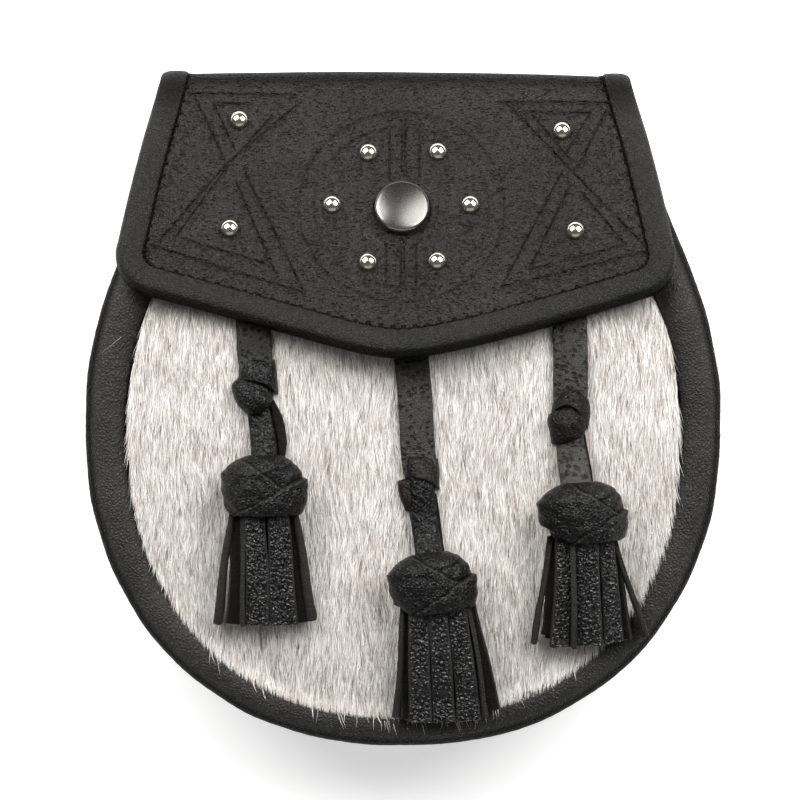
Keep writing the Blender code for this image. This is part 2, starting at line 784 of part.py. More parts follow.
def make_head(tassel, material, collection):
    """A barrel of woven leather: rings about the head's own axis, which runs along Y."""
    rings = []
    for t in HEAD_RINGS:
        swell = (1.0 - abs(t) ** HEAD_POWER) ** (1.0 / HEAD_POWER)
        ring = []
        for side in range(HEAD_SIDES):
            angle = 2.0 * math.pi * side / HEAD_SIDES
            weave = abs(math.cos(2.0 * angle + 2.2 * t)) * abs(math.cos(2.0 * angle - 2.2 * t))
            relief = WEAVE_RELIEF * (weave - 1.0)
            x = (0.5 * tassel.width * MM * swell + relief) * math.cos(angle)
            z = (0.5 * HEAD_DEPTH * swell + relief) * math.sin(angle)
            ring.append(Vector((x, 0.5 * HEAD_LENGTH * t, z)))
        rings.append(ring)
    return loft(f"tassel_{tassel.name}", rings, material, collection)


def make_strip(tassel, strip, number, material, collection):
    """A strip of the skirt, from inside the head to its free end on the fur."""
    top = 0.5 * SKIRT_TOP_WIDTH * strip.start
    bottom = 0.5 * tassel.fan * MM * strip.end
    head_low = -0.5 * HEAD_LENGTH
    floor = -0.5 * HEAD_DEPTH
    ragged = STRIP_RAGGED * (number * 5 % 7)
    rings = []
    for share in (-0.15 - ragged, 0.12, 0.45, 0.75, 1.0 - ragged):
        spread = max(0.0, share) ** 1.15
        x = top + (bottom - top) * spread
        y = head_low - tassel.length * MM * share
        lowered = max(0.0, min(1.0, share * 1.15))
        z = floor + (strip.start_up + (strip.end_up - strip.start_up) * lowered) * MM
        turn = math.radians(strip.turn) * (0.5 + 0.5 * lowered)
        across = Vector((math.cos(turn), 0.0, math.sin(turn)))
        up = Vector((-math.sin(turn), 0.0, math.cos(turn)))
        centre = Vector((x, y, z))
        half_w = 0.5 * strip.width * MM
        half_t = 0.5 * STRIP_LEATHER
        corners = ((-1, -1), (1, -1), (1, 1), (-1, 1))
        rings.append([centre + across * a * half_w + up * b * half_t for a, b in corners])
    return loft(f"strip_{number}", rings, material, collection)


def make_tassel(tassel, material, collection, cutters):
    """Head and strips fused into one body, then laid on the fur."""
    head = make_head(tassel, material, collection)
    for number, strip in enumerate(STRIPS_MM, 1):
        piece = make_strip(tassel, strip, number, material, cutters)
        piece.name = f"{tassel.name}_strip_{number}"
        piece.hide_render = True
        piece.display_type = "WIRE"
        piece.parent = head
        fuse = head.modifiers.new(f"Strip {number}", "BOOLEAN")
        fuse.operation = "UNION"
        fuse.solver = "MANIFOLD"
        fuse.object = piece
    place = Vector((tassel.head_x, tassel.head_y)) * MM
    height = front_z(place.x, place.y) + GAP + 0.5 * HEAD_DEPTH
    head.location = (place.x, place.y, height)
    head.rotation_euler = (0.0, 0.0, math.radians(tassel.lean))


def main():
    clear_scene()
    parts = new_collection("sporran_pouch")
    cutters = new_collection("cutters")
    cutters.hide_render = True
    leather = new_material("Black grained leather", BLACK_LEATHER, 0.55)
    tassel_leather = new_material("Black tassel leather", TASSEL_LEATHER, 0.45)
    fur = new_material("White furred hide", FUR, 0.85)
    nickel = new_material("Satin nickel", NICKEL, 0.3, 1.0)
    make_back_panel(leather, parts)
    make_gusset(leather, parts)
    make_front_panel(fur, parts)
    make_edge_roll(leather, parts)
    make_flap(leather, parts)
    make_flap_binding(leather, parts)
    make_snap(nickel, parts)
    make_rivets(nickel, parts)
    make_belt_loops(leather, parts)
    for row in TASSELS_MM:
        make_strap(row, leather, parts)
        make_knot(row, tassel_leather, parts)
        make_tassel(row, tassel_leather, parts, cutters)


main()
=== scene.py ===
# %% [markdown]
# # A leather sporran pouch
#
# The solids of the pouch are already made and stay fixed. This lesson dresses them:
# it swaps the plain walls for finer ones with stitches, tooled lines and real hair,
# and gives each of them the surface of the material it is cut from. The pouch lies on
# its back, with +X to the right, +Y towards the fold at its top and +Z out of its front.

import math

import bmesh
import bpy
import numpy as np
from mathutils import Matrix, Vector
from mathutils.geometry import delaunay_2d_cdt


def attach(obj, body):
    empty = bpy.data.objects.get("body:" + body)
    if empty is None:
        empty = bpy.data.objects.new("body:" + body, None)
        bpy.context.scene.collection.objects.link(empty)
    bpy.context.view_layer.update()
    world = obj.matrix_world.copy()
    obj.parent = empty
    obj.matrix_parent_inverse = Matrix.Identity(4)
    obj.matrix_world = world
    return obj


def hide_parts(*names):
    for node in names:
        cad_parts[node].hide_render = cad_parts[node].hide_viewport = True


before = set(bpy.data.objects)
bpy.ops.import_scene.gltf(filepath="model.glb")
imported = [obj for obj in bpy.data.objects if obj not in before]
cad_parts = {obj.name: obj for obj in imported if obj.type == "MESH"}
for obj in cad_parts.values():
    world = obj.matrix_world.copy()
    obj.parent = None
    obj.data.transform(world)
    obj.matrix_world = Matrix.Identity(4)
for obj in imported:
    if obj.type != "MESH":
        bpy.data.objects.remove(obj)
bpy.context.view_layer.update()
MM = 0.001  # every size below is in millimetres, and meshes are in metres
scene = bpy.context.scene

# %% [markdown]
# ## The camera
#
# The photograph looks straight down on the pouch from far away, so that its sides hardly
# converge. A long lens at a metre and a half gives the same flat view.

# %% Camera
CAMERA_AT = (-0.9, 2.4, 1500.0)
LENS_MM = 221.0

lens = bpy.data.cameras.new("Camera")
lens.lens = LENS_MM
lens.sensor_width = 36.0
lens.clip_end = 20.0
camera = bpy.data.objects.new("Camera", lens)
camera.location = Vector(CAMERA_AT) * MM
scene.collection.objects.link(camera)
scene.camera = camera
print("camera", CAMERA_AT[2], "mm up, with a lens of", LENS_MM, "mm")

# %% [markdown]
# ## Colours and nodes
#
# Colours are picked as sRGB codes, as on a colour card, but a renderer counts light in
# linear steps, so one function turns each code. Another adds a shader node with its
# settings and links, and turns a pattern's size in millimetres into the node's scale.

# %% Helpers for materials
def srgb(code):
    """The linear colour of a code such as 2b2a28."""
    parts = [int(code[i : i + 2], 16) / 255 for i in (0, 2, 4)]
    linear = [c / 12.92 if c <= 0.04045 else ((c + 0.055) / 1.055) ** 2.4 for c in parts]
    return (*linear, 1.0)


def feed(made, inputs):
    """Gives a node's inputs a value or a link each, by name or in the node's own order.

    Size is how large a pattern is in millimetres, and becomes the node's scale.
    """
    for name, value in inputs.items() if isinstance(inputs, dict) else enumerate(inputs):
        if name == "Size":
            name, value = "Scale", 1.0 / (value * MM)
        if isinstance(value, bpy.types.NodeSocket):
            made.id_data.links.new(value, made.inputs[name])
        else:
            made.inputs[name].default_value = value


def node(tree, kind, inputs=(), output=0, **settings):
    """Adds a node with its settings and links, and returns one of its outputs."""
    made = tree.nodes.new("ShaderNode" + kind)
    for name, value in settings.items():
        setattr(made, name, value)
    feed(made, inputs)
    return made.outputs[output]


def new_material(name):
    """A new material, its nodes, and the place of each point on its piece."""
    material = bpy.data.materials.new(name)
    material.use_nodes = True
    tree = material.node_tree
    return material, tree, node(tree, "TexCoord", output="Object")

# %% [markdown]
# ## Black grained leather
#
# The pouch is cut from black chrome-tanned cowhide with a fine pebbled grain, pressed in
# and finished matt. Its look comes from three things: pebbles of about a millimetre, whose
# gaps are low and dull, finer creases and pores inside them, and a slow change of shade
# from handling. Real pores and creases are finer than a pixel, so they are drawn two or
# three times as large.

# %% Pores
CLOUD = 0.55  # how quickly the finer parts of a noise grow weaker
SMOOTH = {"interpolation_type": "SMOOTHSTEP"}
COLOURS = {"output": 2, "data_type": "RGBA"}  # a mix of colours: inputs 6 and 7, output 2


def pores(tree, place, cell, stretch, slant, widest, group, dark):
    """Small slanting pits, 1 in their middle. They gather in groups of this size."""
    cloud = {"Vector": place, "Detail": 1.0, "Roughness": CLOUD}
    drift = node(tree, "TexNoise", {**cloud, "Size": 26.0}, "Color")
    flow = node(tree, "VectorMath", [drift, (9.0 * MM,) * 3, place], operation="MULTIPLY_ADD")
    lie = {"Vector": flow, "Rotation": (0.0, 0.0, slant), "Scale": (1.0 / stretch, 1.0, 1.0)}
    cells = {"Vector": node(tree, "Mapping", lie), "Size": cell}
    away = node(tree, "TexVoronoi", cells, feature="F1")
    groups = node(tree, "TexNoise", {**cloud, "Size": group})
    wide = node(tree, "MapRange", [groups, 0.40, 0.58, 0.4 * widest, widest], **SMOOTH)
    return node(tree, "MapRange", [away, 0.16, wide, dark, 0.0], **SMOOTH)

# %% [markdown]
# The leather's own recipe starts from the pebbles, a cell pattern whose edges are the gaps
# between them. Sizes are shares of a pebble, so that a coarser grain stays in proportion.
# Values painted on a mesh say where it is pressed in and where painted shade falls, both
# dark and dull, and where it is cut, which is pale.

# %% Leather
def leather(
    name, dark, light, pebble, relief, roughness,
    pits=None, crease=0.6, gap_shade=0.3, sheen=0.4, edge="6b665d",
):  # fmt: skip
    """Grained leather: its two tones, the pebbles' size and height in mm, and its gloss."""
    material, tree, place = new_material(name)
    cloud = {"Vector": place, "Roughness": CLOUD}
    push = node(tree, "TexNoise", {**cloud, "Size": 1.7 * pebble}, "Color")
    pushed = [push, (0.9 * pebble * MM,) * 3, place]
    bent_place = node(tree, "VectorMath", pushed, operation="MULTIPLY_ADD")
    cells = {"Vector": bent_place, "Size": pebble}
    cells = node(tree, "TexVoronoi", cells, feature="DISTANCE_TO_EDGE")
    domes = node(tree, "MapRange", [cells, 0.0, 0.34], **SMOOTH)
    gaps = node(tree, "MapRange", [cells, 0.0, 0.22, 1.0 - gap_shade, 1.0], **SMOOTH)
    fine = {"Vector": place, "Size": 0.62 * pebble, "Detail": 4.0, "Roughness": 0.62}
    fine = node(tree, "TexNoise", fine)
    broad = node(tree, "TexNoise", {**cloud, "Size": 5.0 * pebble, "Detail": 3.0})
    handled = node(tree, "TexNoise", {**cloud, "Size": 30.0, "Detail": 4.0})
    worn = node(tree, "MapRange", [handled, 0.35, 0.65], **SMOOTH)
    colour = node(tree, "Mix", {0: worn, 6: srgb(dark), 7: srgb(light)}, **COLOURS)
    colour = node(tree, "Mix", {0: 1.0, 6: colour, 7: gaps}, blend_type="MULTIPLY", **COLOURS)
    pressed = node(tree, "Attribute", output="Fac", attribute_name="pressed")
    cut = node(tree, "Attribute", output="Fac", attribute_name="cut")
    # This value darkens the tooled grooves, and paints shade on sides and places that the lamps
    # don't reach.
    covers = [(pressed, "080707"), (cut, edge)]
    reliefs = [(broad, 2.2, 0.8), (domes, 1.0, 1.0), (fine, crease, 1.0)]
    if pits:
        pit = pores(tree, place, **pits)
        covers.insert(0, (pit, "060505"))
        reliefs.append((pit, -2.4, 1.0))
    for amount, code in covers:
        colour = node(tree, "Mix", {0: amount, 6: colour, 7: srgb(code)}, **COLOURS)
    surface = {}
    for height, share, strength in reliefs:
        bump = {"Height": height, "Distance": share * relief * MM, "Strength": strength}
        surface = {"Normal": node(tree, "Bump", {**bump, **surface})}
    gloss = [domes, 0.0, 1.0, min(1.0, roughness + 0.2), roughness]
    shine = [pressed, 0.0, 1.0, sheen, 0.03]
    inputs = {"Base Color": colour, **surface}
    inputs["Roughness"] = node(tree, "MapRange", gloss, **SMOOTH)
    inputs["Specular IOR Level"] = node(tree, "MapRange", shine, **SMOOTH)
    feed(tree.nodes["Principled BSDF"], inputs)
    return material

# %% [markdown]
# Each cut of leather is one row: its two tones, the size of its pebbles, their height and
# its roughness. Calf is finer than cowhide, and the back is plain and nearly smooth.

# %% The pouch's leathers
# A row of pits: their cell, how long and how slanting they are, the widest share of a
# cell that one takes up, the size of their groups and how dark they are.
FLAP_PITS = dict(cell=0.85, stretch=2.0, slant=0.3, widest=0.58, group=2.2, dark=1.0)

grained_cowhide = leather(
    "Black grained cowhide", "17150f", "232019", 0.9, 0.4, 0.34, FLAP_PITS, 0.9, sheen=0.42
)
roll_cowhide = leather(
    "Black cowhide over the cord", "1e1c18", "2a2822", 1.05, 0.17, 0.40, crease=0.7
)
binding_calf = leather(
    "Black binding calf", "12110d", "1b1914", 0.8, 0.26, 0.36, gap_shade=0.35, sheen=0.35
)
back_cowhide = leather("Black cowhide, plain back", "1f1e1b", "2a2826", 1.4, 0.09, 0.55)
flesh_side = leather(
    "Leather flesh side, brown black", "0e0c0a", "171412", 0.8, 0.12, 0.7, sheen=0.2
)
print("leathers:", grained_cowhide.name, roll_cowhide.name, binding_calf.name)

# %% [markdown]
# ## Waxed thread
#
# The seams are sewn with black polyester thread that is twisted and waxed. Close up it
# shows its twist as slanting ridges, and the wax gives it a soft shine.

# %% Thread material
THREAD_TWIST = 0.55  # from ridge to ridge
RIDGES_APART = 0.31  # a wave pattern's ridges, as a share of its size

waxed_thread, tree, place = new_material("Black waxed thread")
twist = {"Vector": place, "Size": THREAD_TWIST / RIDGES_APART, "Distortion": 1.0}
ridges = node(tree, "TexWave", twist, "Fac", bands_direction="DIAGONAL")
thread_inputs = {
    "Base Color": node(tree, "Mix", {0: ridges, 6: srgb("050504"), 7: srgb("100f0d")}, **COLOURS),
    "Normal": node(tree, "Bump", {"Height": ridges, "Distance": 0.06 * MM}),
    "Roughness": 0.6,
    "Specular IOR Level": 0.06,
}
feed(tree.nodes["Principled BSDF"], thread_inputs)
print("thread twisted every", THREAD_TWIST, "mm")

# %% [markdown]
# ## Paths
#
# The pieces are worked out from paths, which are the places that a seam, a roll or a strap
# follows. These helpers step along a path evenly, give the directions beside it, and fade
# a value in or out over a length.

# %% Helpers for paths
def unit(vectors):
    return vectors / np.maximum(np.linalg.norm(vectors, axis=-1, keepdims=True), 1e-9)


def ramp(value, start, length):
    """0 up to start, then up to 1 over this length. A negative length runs the other way."""
    return np.clip((np.asarray(value, float) - start) / length, 0.0, 1.0)


def at_stations(table, stations, at):
    """The rows of a table, worked out at places between its own stations."""
    return np.stack([np.interp(at, stations, column) for column in table.T], 1)


def resampled(path, spacing):
    """A path's points again at even steps, and how far along it each lies."""
    path = np.asarray(path, float)
    lengths = np.append(0.0, np.cumsum(np.linalg.norm(np.diff(path, axis=0), axis=1)))
    even = np.linspace(0.0, lengths[-1], int(lengths[-1] / spacing) + 1)
    return at_stations(path, lengths, even), even


def smoothed(path, rounds):
    """A path with its corners rounded a little more by each round."""
    for _ in range(rounds):
        path[1:-1] = 0.25 * path[:-2] + 0.5 * path[1:-1] + 0.25 * path[2:]
    return path


def left_of(path):
    """The directions square to a flat path, on its left side."""
    ahead = unit(np.gradient(path, axis=0))
    return np.stack([-ahead[:, 1], ahead[:, 0]], 1)


def directions(path, up):
    """Across and up directions of a path, square to it and as near to up as can be."""
    ahead = unit(np.gradient(path, axis=0))
    across = unit(np.cross(ahead, np.broadcast_to(up, path.shape)))
    return across, np.cross(across, ahead)


def circle(sides):
    """The cosines and sines of even steps once round."""
    turn = np.linspace(0.0, 2 * math.pi, sides, endpoint=False)
    return np.cos(turn), np.sin(turn)

# %% [markdown]
# ## The body's shape
#
# The walls, the roll and the fur all follow one outline: half a superellipse below the
# widest line, and sides above it that draw in to a straight taper. The numbers are those
# of the solids, so that the finer walls lie where the solids do.

# %% The body's outline
GAP = 0.3
BODY_HALF_WIDTH = 94.9
BODY_BOTTOM = -100.8
WIDEST_Y = -3.6
LOWER_POWER = 2.2
SIDE_CURVE = 0.0044
SIDE_CURVED_FOR = 43.0


def half_width(y):
    """Half of the body's width at this height."""
    rise = np.asarray(y, float) - WIDEST_Y
    share = ramp(rise, 0.0, BODY_BOTTOM - WIDEST_Y)
    lower = BODY_HALF_WIDTH * (1.0 - share**LOWER_POWER) ** (1.0 / LOWER_POWER)
    curved = np.minimum(rise, SIDE_CURVED_FOR)
    taper = 2.0 * SIDE_CURVE * SIDE_CURVED_FOR
    upper = BODY_HALF_WIDTH - SIDE_CURVE * curved**2 - taper * (rise - curved)
    return np.where(rise < 0.0, lower, upper)


def outline(top_y, inset, spacing):
    """Points, outward directions and distances along the outline, from the top right."""
    y = np.linspace(top_y, WIDEST_Y, 400, endpoint=False)
    turn = np.linspace(0.0, 0.5 * math.pi, 900)
    power = 2.0 / LOWER_POWER
    low_x = BODY_HALF_WIDTH * np.maximum(np.cos(turn), 0.0) ** power
    low_y = WIDEST_Y + (BODY_BOTTOM - WIDEST_Y) * np.sin(turn) ** power
    right = np.stack([np.append(half_width(y), low_x), np.append(y, low_y)], 1)
    whole = np.concatenate([right, (right * (-1.0, 1.0))[-2::-1]])
    path, along = resampled(whole, spacing)
    outward = left_of(path)
    return path - outward * inset, outward, along


edge, _, along = outline(70.0, 0.0, 2.0)
print("outline", round(along[-1], 1), "mm round, width", round(2 * edge[:, 0].max(), 1), "mm")

# %% [markdown]
# The flap folds over the top and slopes down the front, and the roll, the straps and the
# fur pass under it. So their heights are worked out from the flap's face and each other.

# %% The flap's face
FLAP_TILT = math.radians(22.0)
FOLD_RADIUS = 7.5
FOLD_TOP = 101.6
TAB_LENGTH = 11.0
BACK_RISE = 9.5
LEATHER = 2.2
FLAP_LEATHER = 2.5
BINDING_LEATHER = 1.0
BINDING_GAP = 0.4


def bent(along, height=0.0):
    """Y and Z of a place on the flap, by its distance along the leather's outer face."""
    along = np.asarray(along, float)
    angle = np.clip((along - TAB_LENGTH) / FOLD_RADIUS, 0.0, math.pi - FLAP_TILT)
    beyond = along - TAB_LENGTH - angle * FOLD_RADIUS
    reach = FOLD_RADIUS + height
    y = FOLD_TOP - FOLD_RADIUS + reach * np.sin(angle) + beyond * np.cos(angle)
    middle_z = BACK_RISE - GAP - FLAP_LEATHER + FOLD_RADIUS
    return y, middle_z - reach * np.cos(angle) + beyond * np.sin(angle)


FRONT_FROM = TAB_LENGTH + FOLD_RADIUS * (math.pi - FLAP_TILT)
FRONT_TOP_Y, FRONT_TOP_Z = (float(v) for v in bent(FRONT_FROM))


def along_flap(y):
    """How far along the leather the front's place at this height lies."""
    return FRONT_FROM + (FRONT_TOP_Y - y) / math.cos(FLAP_TILT)


def flap_z(y):
    return FRONT_TOP_Z + (FRONT_TOP_Y - y) * math.tan(FLAP_TILT)


print("flap's face starts at z", round(FRONT_TOP_Z, 1), "mm")

# %% [markdown]
# The roll passes close under the flap, and the fur is domed between the roll and the flap.
# Where two heights meet, the lower one counts, and the corner between them is rounded.

# %% Heights of the back, the roll and the fur
UNDER_FLAP = 7.0
ROLL_RADIUS = 6.5
ROLL_Z = 34.5
FRONT_Z = 43.5
DOME_DROP = 3.2
DOME_WIDTH = 22.0
FRONT_INSET = 2 * ROLL_RADIUS + 1.5
BACK_FLAT_TO = 8.0  # from here the back rises towards the top
BACK_RISES_FOR = 32.0
ROLL_BELOW_FLAP = 0.6
SOFT_CORNER = 4.0


def smooth_min(a, b, width):
    """The lower of a and b, with the corner between them rounded over this width."""
    share = np.clip(0.5 + 0.5 * (b - a) / width, 0.0, 1.0)
    return b + (a - b) * share - width * share * (1.0 - share)


def back_z(y):
    """The back panel's outer face: flat, then raised towards the top."""
    share = ramp(y, BACK_FLAT_TO, BACK_RISES_FOR)
    return BACK_RISE * share**2 * (3.0 - 2.0 * share)


def roll_z(y):
    bound = FLAP_LEATHER + BINDING_GAP + BINDING_LEATHER
    below_flap = flap_z(y) - bound / math.cos(FLAP_TILT) - ROLL_BELOW_FLAP - ROLL_RADIUS
    return smooth_min(ROLL_Z, below_flap, SOFT_CORNER)


def slope_of(height, y):
    """How steeply a height rises with y."""
    return (height(y + 1) - height(y - 1)) / 2


def edge_distance(x, y, inset=FRONT_INSET):
    """About how far a place lies from a line that runs this far inside the outline."""
    wide, high = BODY_HALF_WIDTH - inset, WIDEST_Y - BODY_BOTTOM - inset
    across, down = np.abs(x) / wide, np.maximum(0.0, (WIDEST_Y - y) / high)
    level = (across**LOWER_POWER + down**LOWER_POWER) ** (1.0 / LOWER_POWER)
    return np.where(y > WIDEST_Y, half_width(y) - inset - np.abs(x), (1.0 - level) * wide)


def front_z(x, y):
    """The height of the fur: domed, and sloping under the flap down to the mouth."""
    share = ramp(edge_distance(x, y), 0.0, DOME_WIDTH)
    level = smooth_min(FRONT_Z, flap_z(y) - UNDER_FLAP, SOFT_CORNER)
    return level - DOME_DROP * (1.0 - share) ** 2


print("fur height in the middle", round(float(front_z(0, 0)), 2), "mm")

# %% [markdown]
# ## Meshes
#
# A piece is gathered point by point in millimetres and then made in one go, which is easier
# to control here than modelling operators. Values at the points, such as how much a place
# is pressed, travel with them to the material.

# %% Helpers for meshes
class Shape:
    """Points in millimetres, faces and values at the points, gathered for one piece."""

    def __init__(self):
        self.points, self.faces, self.kinds, self.values, self.count = [], [], [], [], 0

    def add(self, points, *face_sets, kind=0, **values):
        """Adds points and faces. kind is the number of their material, or one for each set."""
        points = np.asarray(points, float).reshape(-1, 3)
        kinds = kind if isinstance(kind, list) else [kind] * len(face_sets)
        for faces, numbers in zip(face_sets, kinds):
            self.faces.append(np.asarray(faces, int) + self.count)
            self.kinds.append(np.broadcast_to(numbers, len(faces)))
        self.points.append(points)
        self.values.append((len(points), values))
        self.count += len(points)

    def piece(self, name, materials, nodes=(), sharp=None, turn=True):
        """Makes the mesh, lets it ride with the pouch and stand for its solids."""
        mesh = bpy.data.meshes.new(name)
        faces = [corners for faces in self.faces for corners in faces.tolist()]
        mesh.from_pydata(np.concatenate(self.points) * MM, [], faces)
        mesh.polygons.foreach_set("material_index", np.concatenate(self.kinds))
        for label in sorted({key for _, given in self.values for key in given}):
            parts = [np.resize(given.get(label, 0.0), n) for n, given in self.values]
            made = mesh.attributes.new(label, "FLOAT", "POINT")
            made.data.foreach_set("value", np.concatenate(parts).astype(np.float32))
        mesh.validate()
        if turn:
            turn_outwards(mesh)
        mesh.shade_smooth()
        if sharp:
            mesh.set_sharp_from_angle(angle=math.radians(sharp))
        for material in materials:
            mesh.materials.append(material)
        obj = bpy.data.objects.new(name, mesh)
        scene.collection.objects.link(obj)
        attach(obj, "root")
        if nodes:
            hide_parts(*nodes)
        return obj


def turn_outwards(mesh):
    bm = bmesh.new()
    bm.from_mesh(mesh)
    bmesh.ops.recalc_face_normals(bm, faces=bm.faces)
    bm.to_mesh(mesh)
    bm.free()

# %% [markdown]
# Most pieces are tubes: rings of points that are joined to each other, with a fan of
# triangles at both ends. A sheet is an open grid of points.

# %% Grids and tubes
def grid_faces(rows, columns, around=False):
    """The faces of a grid of points. around joins each row's last point to its first."""
    row = np.arange(rows - 1)[:, None] * columns
    column = np.arange(columns if around else columns - 1)[None, :]
    after = (column + 1) % columns
    corners = (row + column, row + after, row + columns + after, row + columns + column)
    return np.stack(corners, -1).reshape(-1, 4)


def tube(shape, rings, kind=0, **values):
    """A closed body through rings of points, with a fan of triangles at both ends."""
    rows, columns = rings.shape[:2]
    points = np.concatenate([rings.reshape(-1, 3), rings[[0, -1]].mean(1)])
    index = np.arange(columns)
    after = (index + 1) % columns
    last, middle = (rows - 1) * columns, np.full(columns, rows * columns)
    fans = [np.stack([after, index, middle], 1)]
    fans.append(np.stack([last + index, last + after, middle + 1], 1))
    for label, value in values.items():
        value = np.broadcast_to(value, (rows, columns))
        values[label] = np.append(value, value[[0, -1]].mean(1))
    shape.add(points, grid_faces(rows, columns, True), *fans, kind=kind, **values)

# %% [markdown]
# ## Stitches
#
# A stitch is a short bridge of thread between two holes. Each one is made as a little
# arched tube that dips into the leather at both ends, and a seam is a row of them at the
# pitch measured on the object, a little over four millimetres.

# %% Stitches
STITCH_PITCH = 4.3
STITCH_THICKNESS = [0.75, 0.95, 1.0, 1.0, 1.0, 0.95, 0.75]  # shares, from end to end


def sew(shape, path, up, radius, cover=0.86, sink=0.5):
    """A row of stitches along a path of places, whose up directions lift each bridge."""
    even, stations = resampled(np.hstack([path, up]), STITCH_PITCH / 8)
    count = max(1, round(stations[-1] / STITCH_PITCH))
    share = np.linspace(0.5 - 0.5 * cover, 0.5 + 0.5 * cover, len(STITCH_THICKNESS))
    rise = 0.25 * radius - sink * (2 * share - 1.0) ** 4 / cover**4
    thick = radius * np.array(STITCH_THICKNESS)[:, None, None]
    across, over = (part[:, None] for part in circle(8))
    for number in range(count):
        spot = at_stations(even, stations, (number + share) * stations[-1] / count)
        middle = spot[:, :3] + unit(spot[:, 3:]) * rise[:, None]
        side, lift = directions(middle, unit(spot[:, 3:]))
        ring = side[:, None] * across + lift[:, None] * over
        tube(shape, middle[:, None] + ring * thick)

# %% [markdown]
# ## The back and the gusset
#
# The back is one flat panel of plain cowhide that lies on the table, and steps in near
# the top where the belt loops are sewn on. The gusset is a long band that joins it to the
# front and bulges a little when the pouch holds something. Both are soft walls of even
# thickness, so a fine sheet of points with a Solidify modifier and a small Bevel along
# its cut edges gives their shape.

# %% Back panel
BACK_TOP = 91.8
BACK_INSET = 3.5  # how far the back's edge lies inside the pouch's outline
BACK_SEAM = 3.2  # how far its seam lies from its edge
BACK_THREAD = 0.26


def wall(obj, thickness, offset, bevel):
    made = obj.modifiers.new("Wall", "SOLIDIFY")
    made.thickness, made.offset, made.use_even_offset = thickness * MM, offset, True
    cut = obj.modifiers.new("Cut edge", "BEVEL")
    cut.width, cut.segments, cut.limit_method = bevel * MM, 2, "ANGLE"
    cut.angle_limit = math.radians(50.0)


def panel_rows(top_y, inset, spacing, columns):
    """A grid of places that fills the body's outline, row by row from the top."""
    points, _, _ = outline(top_y, inset, spacing)
    right = points[: len(points) // 2 + 1]
    right = right[right[:, 0] > 4.0]  # the lowest few millimetres are as good as straight
    x = right[:, :1] * np.linspace(-1.0, 1.0, columns)
    return x, np.broadcast_to(right[:, 1:], x.shape)


shape = Shape()
x, y = panel_rows(BACK_TOP, BACK_INSET, 1.6, 70)
shape.add(np.stack([x, y, back_z(y)], -1), grid_faces(*x.shape))
back_panel = shape.piece("back_leather", [back_cowhide], ["back_panel"], turn=False)
wall(back_panel, LEATHER, -1.0, 0.5)

shape = Shape()
points, _, _ = outline(88.0, BACK_INSET + BACK_SEAM, 1.0)
height = back_z(points[:, 1])
slope = slope_of(back_z, points[:, 1])
down = unit(np.stack([0 * slope, slope, 0 * slope - 1.0], 1))
sew(shape, np.column_stack([points, height + 0.32]), down, BACK_THREAD)
shape.piece("back_stitches", [waxed_thread])
print("back panel", x.shape, "points")

# %% [markdown]
# The gusset's sheet is a row of points across the band, repeated along the outline. Its
# middle is pushed outwards, most where the band is high, as leather bulges between seams.

# %% Gusset
GUSSET_TOP = 67.0
GUSSET_LEATHER = 2.0
GUSSET_BULGE = 2.0
PUCKER_HEIGHT = 0.12


def waves(x, y, size, seed, count=9):
    """A soft uneven surface between about -1 and 1, whose bumps are about this size."""
    dice = np.random.RandomState(seed)
    total = 0.0
    for _ in range(count):
        angle, phase = dice.uniform(0, 2 * math.pi, 2)
        pitch = 2 * math.pi / (size * dice.uniform(0.7, 1.6))
        total = total + np.sin((x * math.cos(angle) + y * math.sin(angle)) * pitch + phase)
    return total / math.sqrt(count)


points, outward, along = outline(GUSSET_TOP, ROLL_RADIUS, 1.6)
y = points[:, 1]
slope = slope_of(back_z, y)
low = back_z(y) + LEATHER * np.hypot(1.0, slope) + 1.5 * slope + 1.6 * GAP
slope = slope_of(roll_z, y)
high = roll_z(y) - ROLL_RADIUS * np.hypot(1.0, slope) + 0.6 * slope - 1.2 * GAP
share = np.linspace(0.0, 1.0, 18)[None, :]
bulge = GUSSET_BULGE * np.minimum(1.0, (high - low) / 25.0)[:, None]
puckers = PUCKER_HEIGHT * waves(along[:, None], 20 * share, 9.0, 3) * np.sin(math.pi * share)
reach = bulge * np.sin(math.pi * share) ** 2 + puckers
place = points[:, None, :] + outward[:, None, :] * reach[..., None]
z = low[:, None] + (high - low)[:, None] * share
shape = Shape()
shape.add(np.concatenate([place, z[..., None]], -1), grid_faces(*z.shape)[:, ::-1])
gusset = shape.piece("gusset_leather", [back_cowhide], ["gusset"], turn=False)
wall(gusset, GUSSET_LEATHER, 0.0, 0.4)
print("gusset", round(along[-1], 1), "mm long")

# %% [markdown]
# ## Belt loops
#
# Two bands behind the top carry the belt. Their feet are sewn flat to the back with a
# box of stitches, and between the feet they stand off to let the belt through. A bar with
# rounded edges swept along that line is enough.

# %% A flat bar swept along a line
def bar_rings(middle, across, up, width, thickness, crown=0.0, edge=0.45, steps=9):
    """Rings of a flat bar with rounded edges. crown lifts the middle of its upper face."""
    radius = edge * thickness
    half_w = 0.5 * np.broadcast_to(width, len(middle))[:, None] - radius
    half_t = 0.5 * thickness
    flat = np.linspace(1.0, -1.0, steps)
    bend = np.radians([22.5, 45.0, 67.5])
    rise, fall = radius * np.sin(bend), radius * np.cos(bend)
    straight = half_t - radius
    a = [half_w * flat, -half_w - rise, -half_w - fall]
    b = [half_t + crown * (1.0 - flat**2), straight + fall, -straight - rise]
    a += [-half_w * flat, half_w + rise, half_w + fall]
    b += [0 * flat - half_t, -straight - fall, straight + rise]
    a, b = np.concatenate(a, 1), np.concatenate(b)[:, None]
    return middle[:, None] + across[:, None] * a[..., None] + up[:, None] * b

# %% [markdown]
# Both loops follow the same line: foot, rise, bridge, fall and foot. They are on the back
# and flat to the table, so a plain form and its stitches are enough.

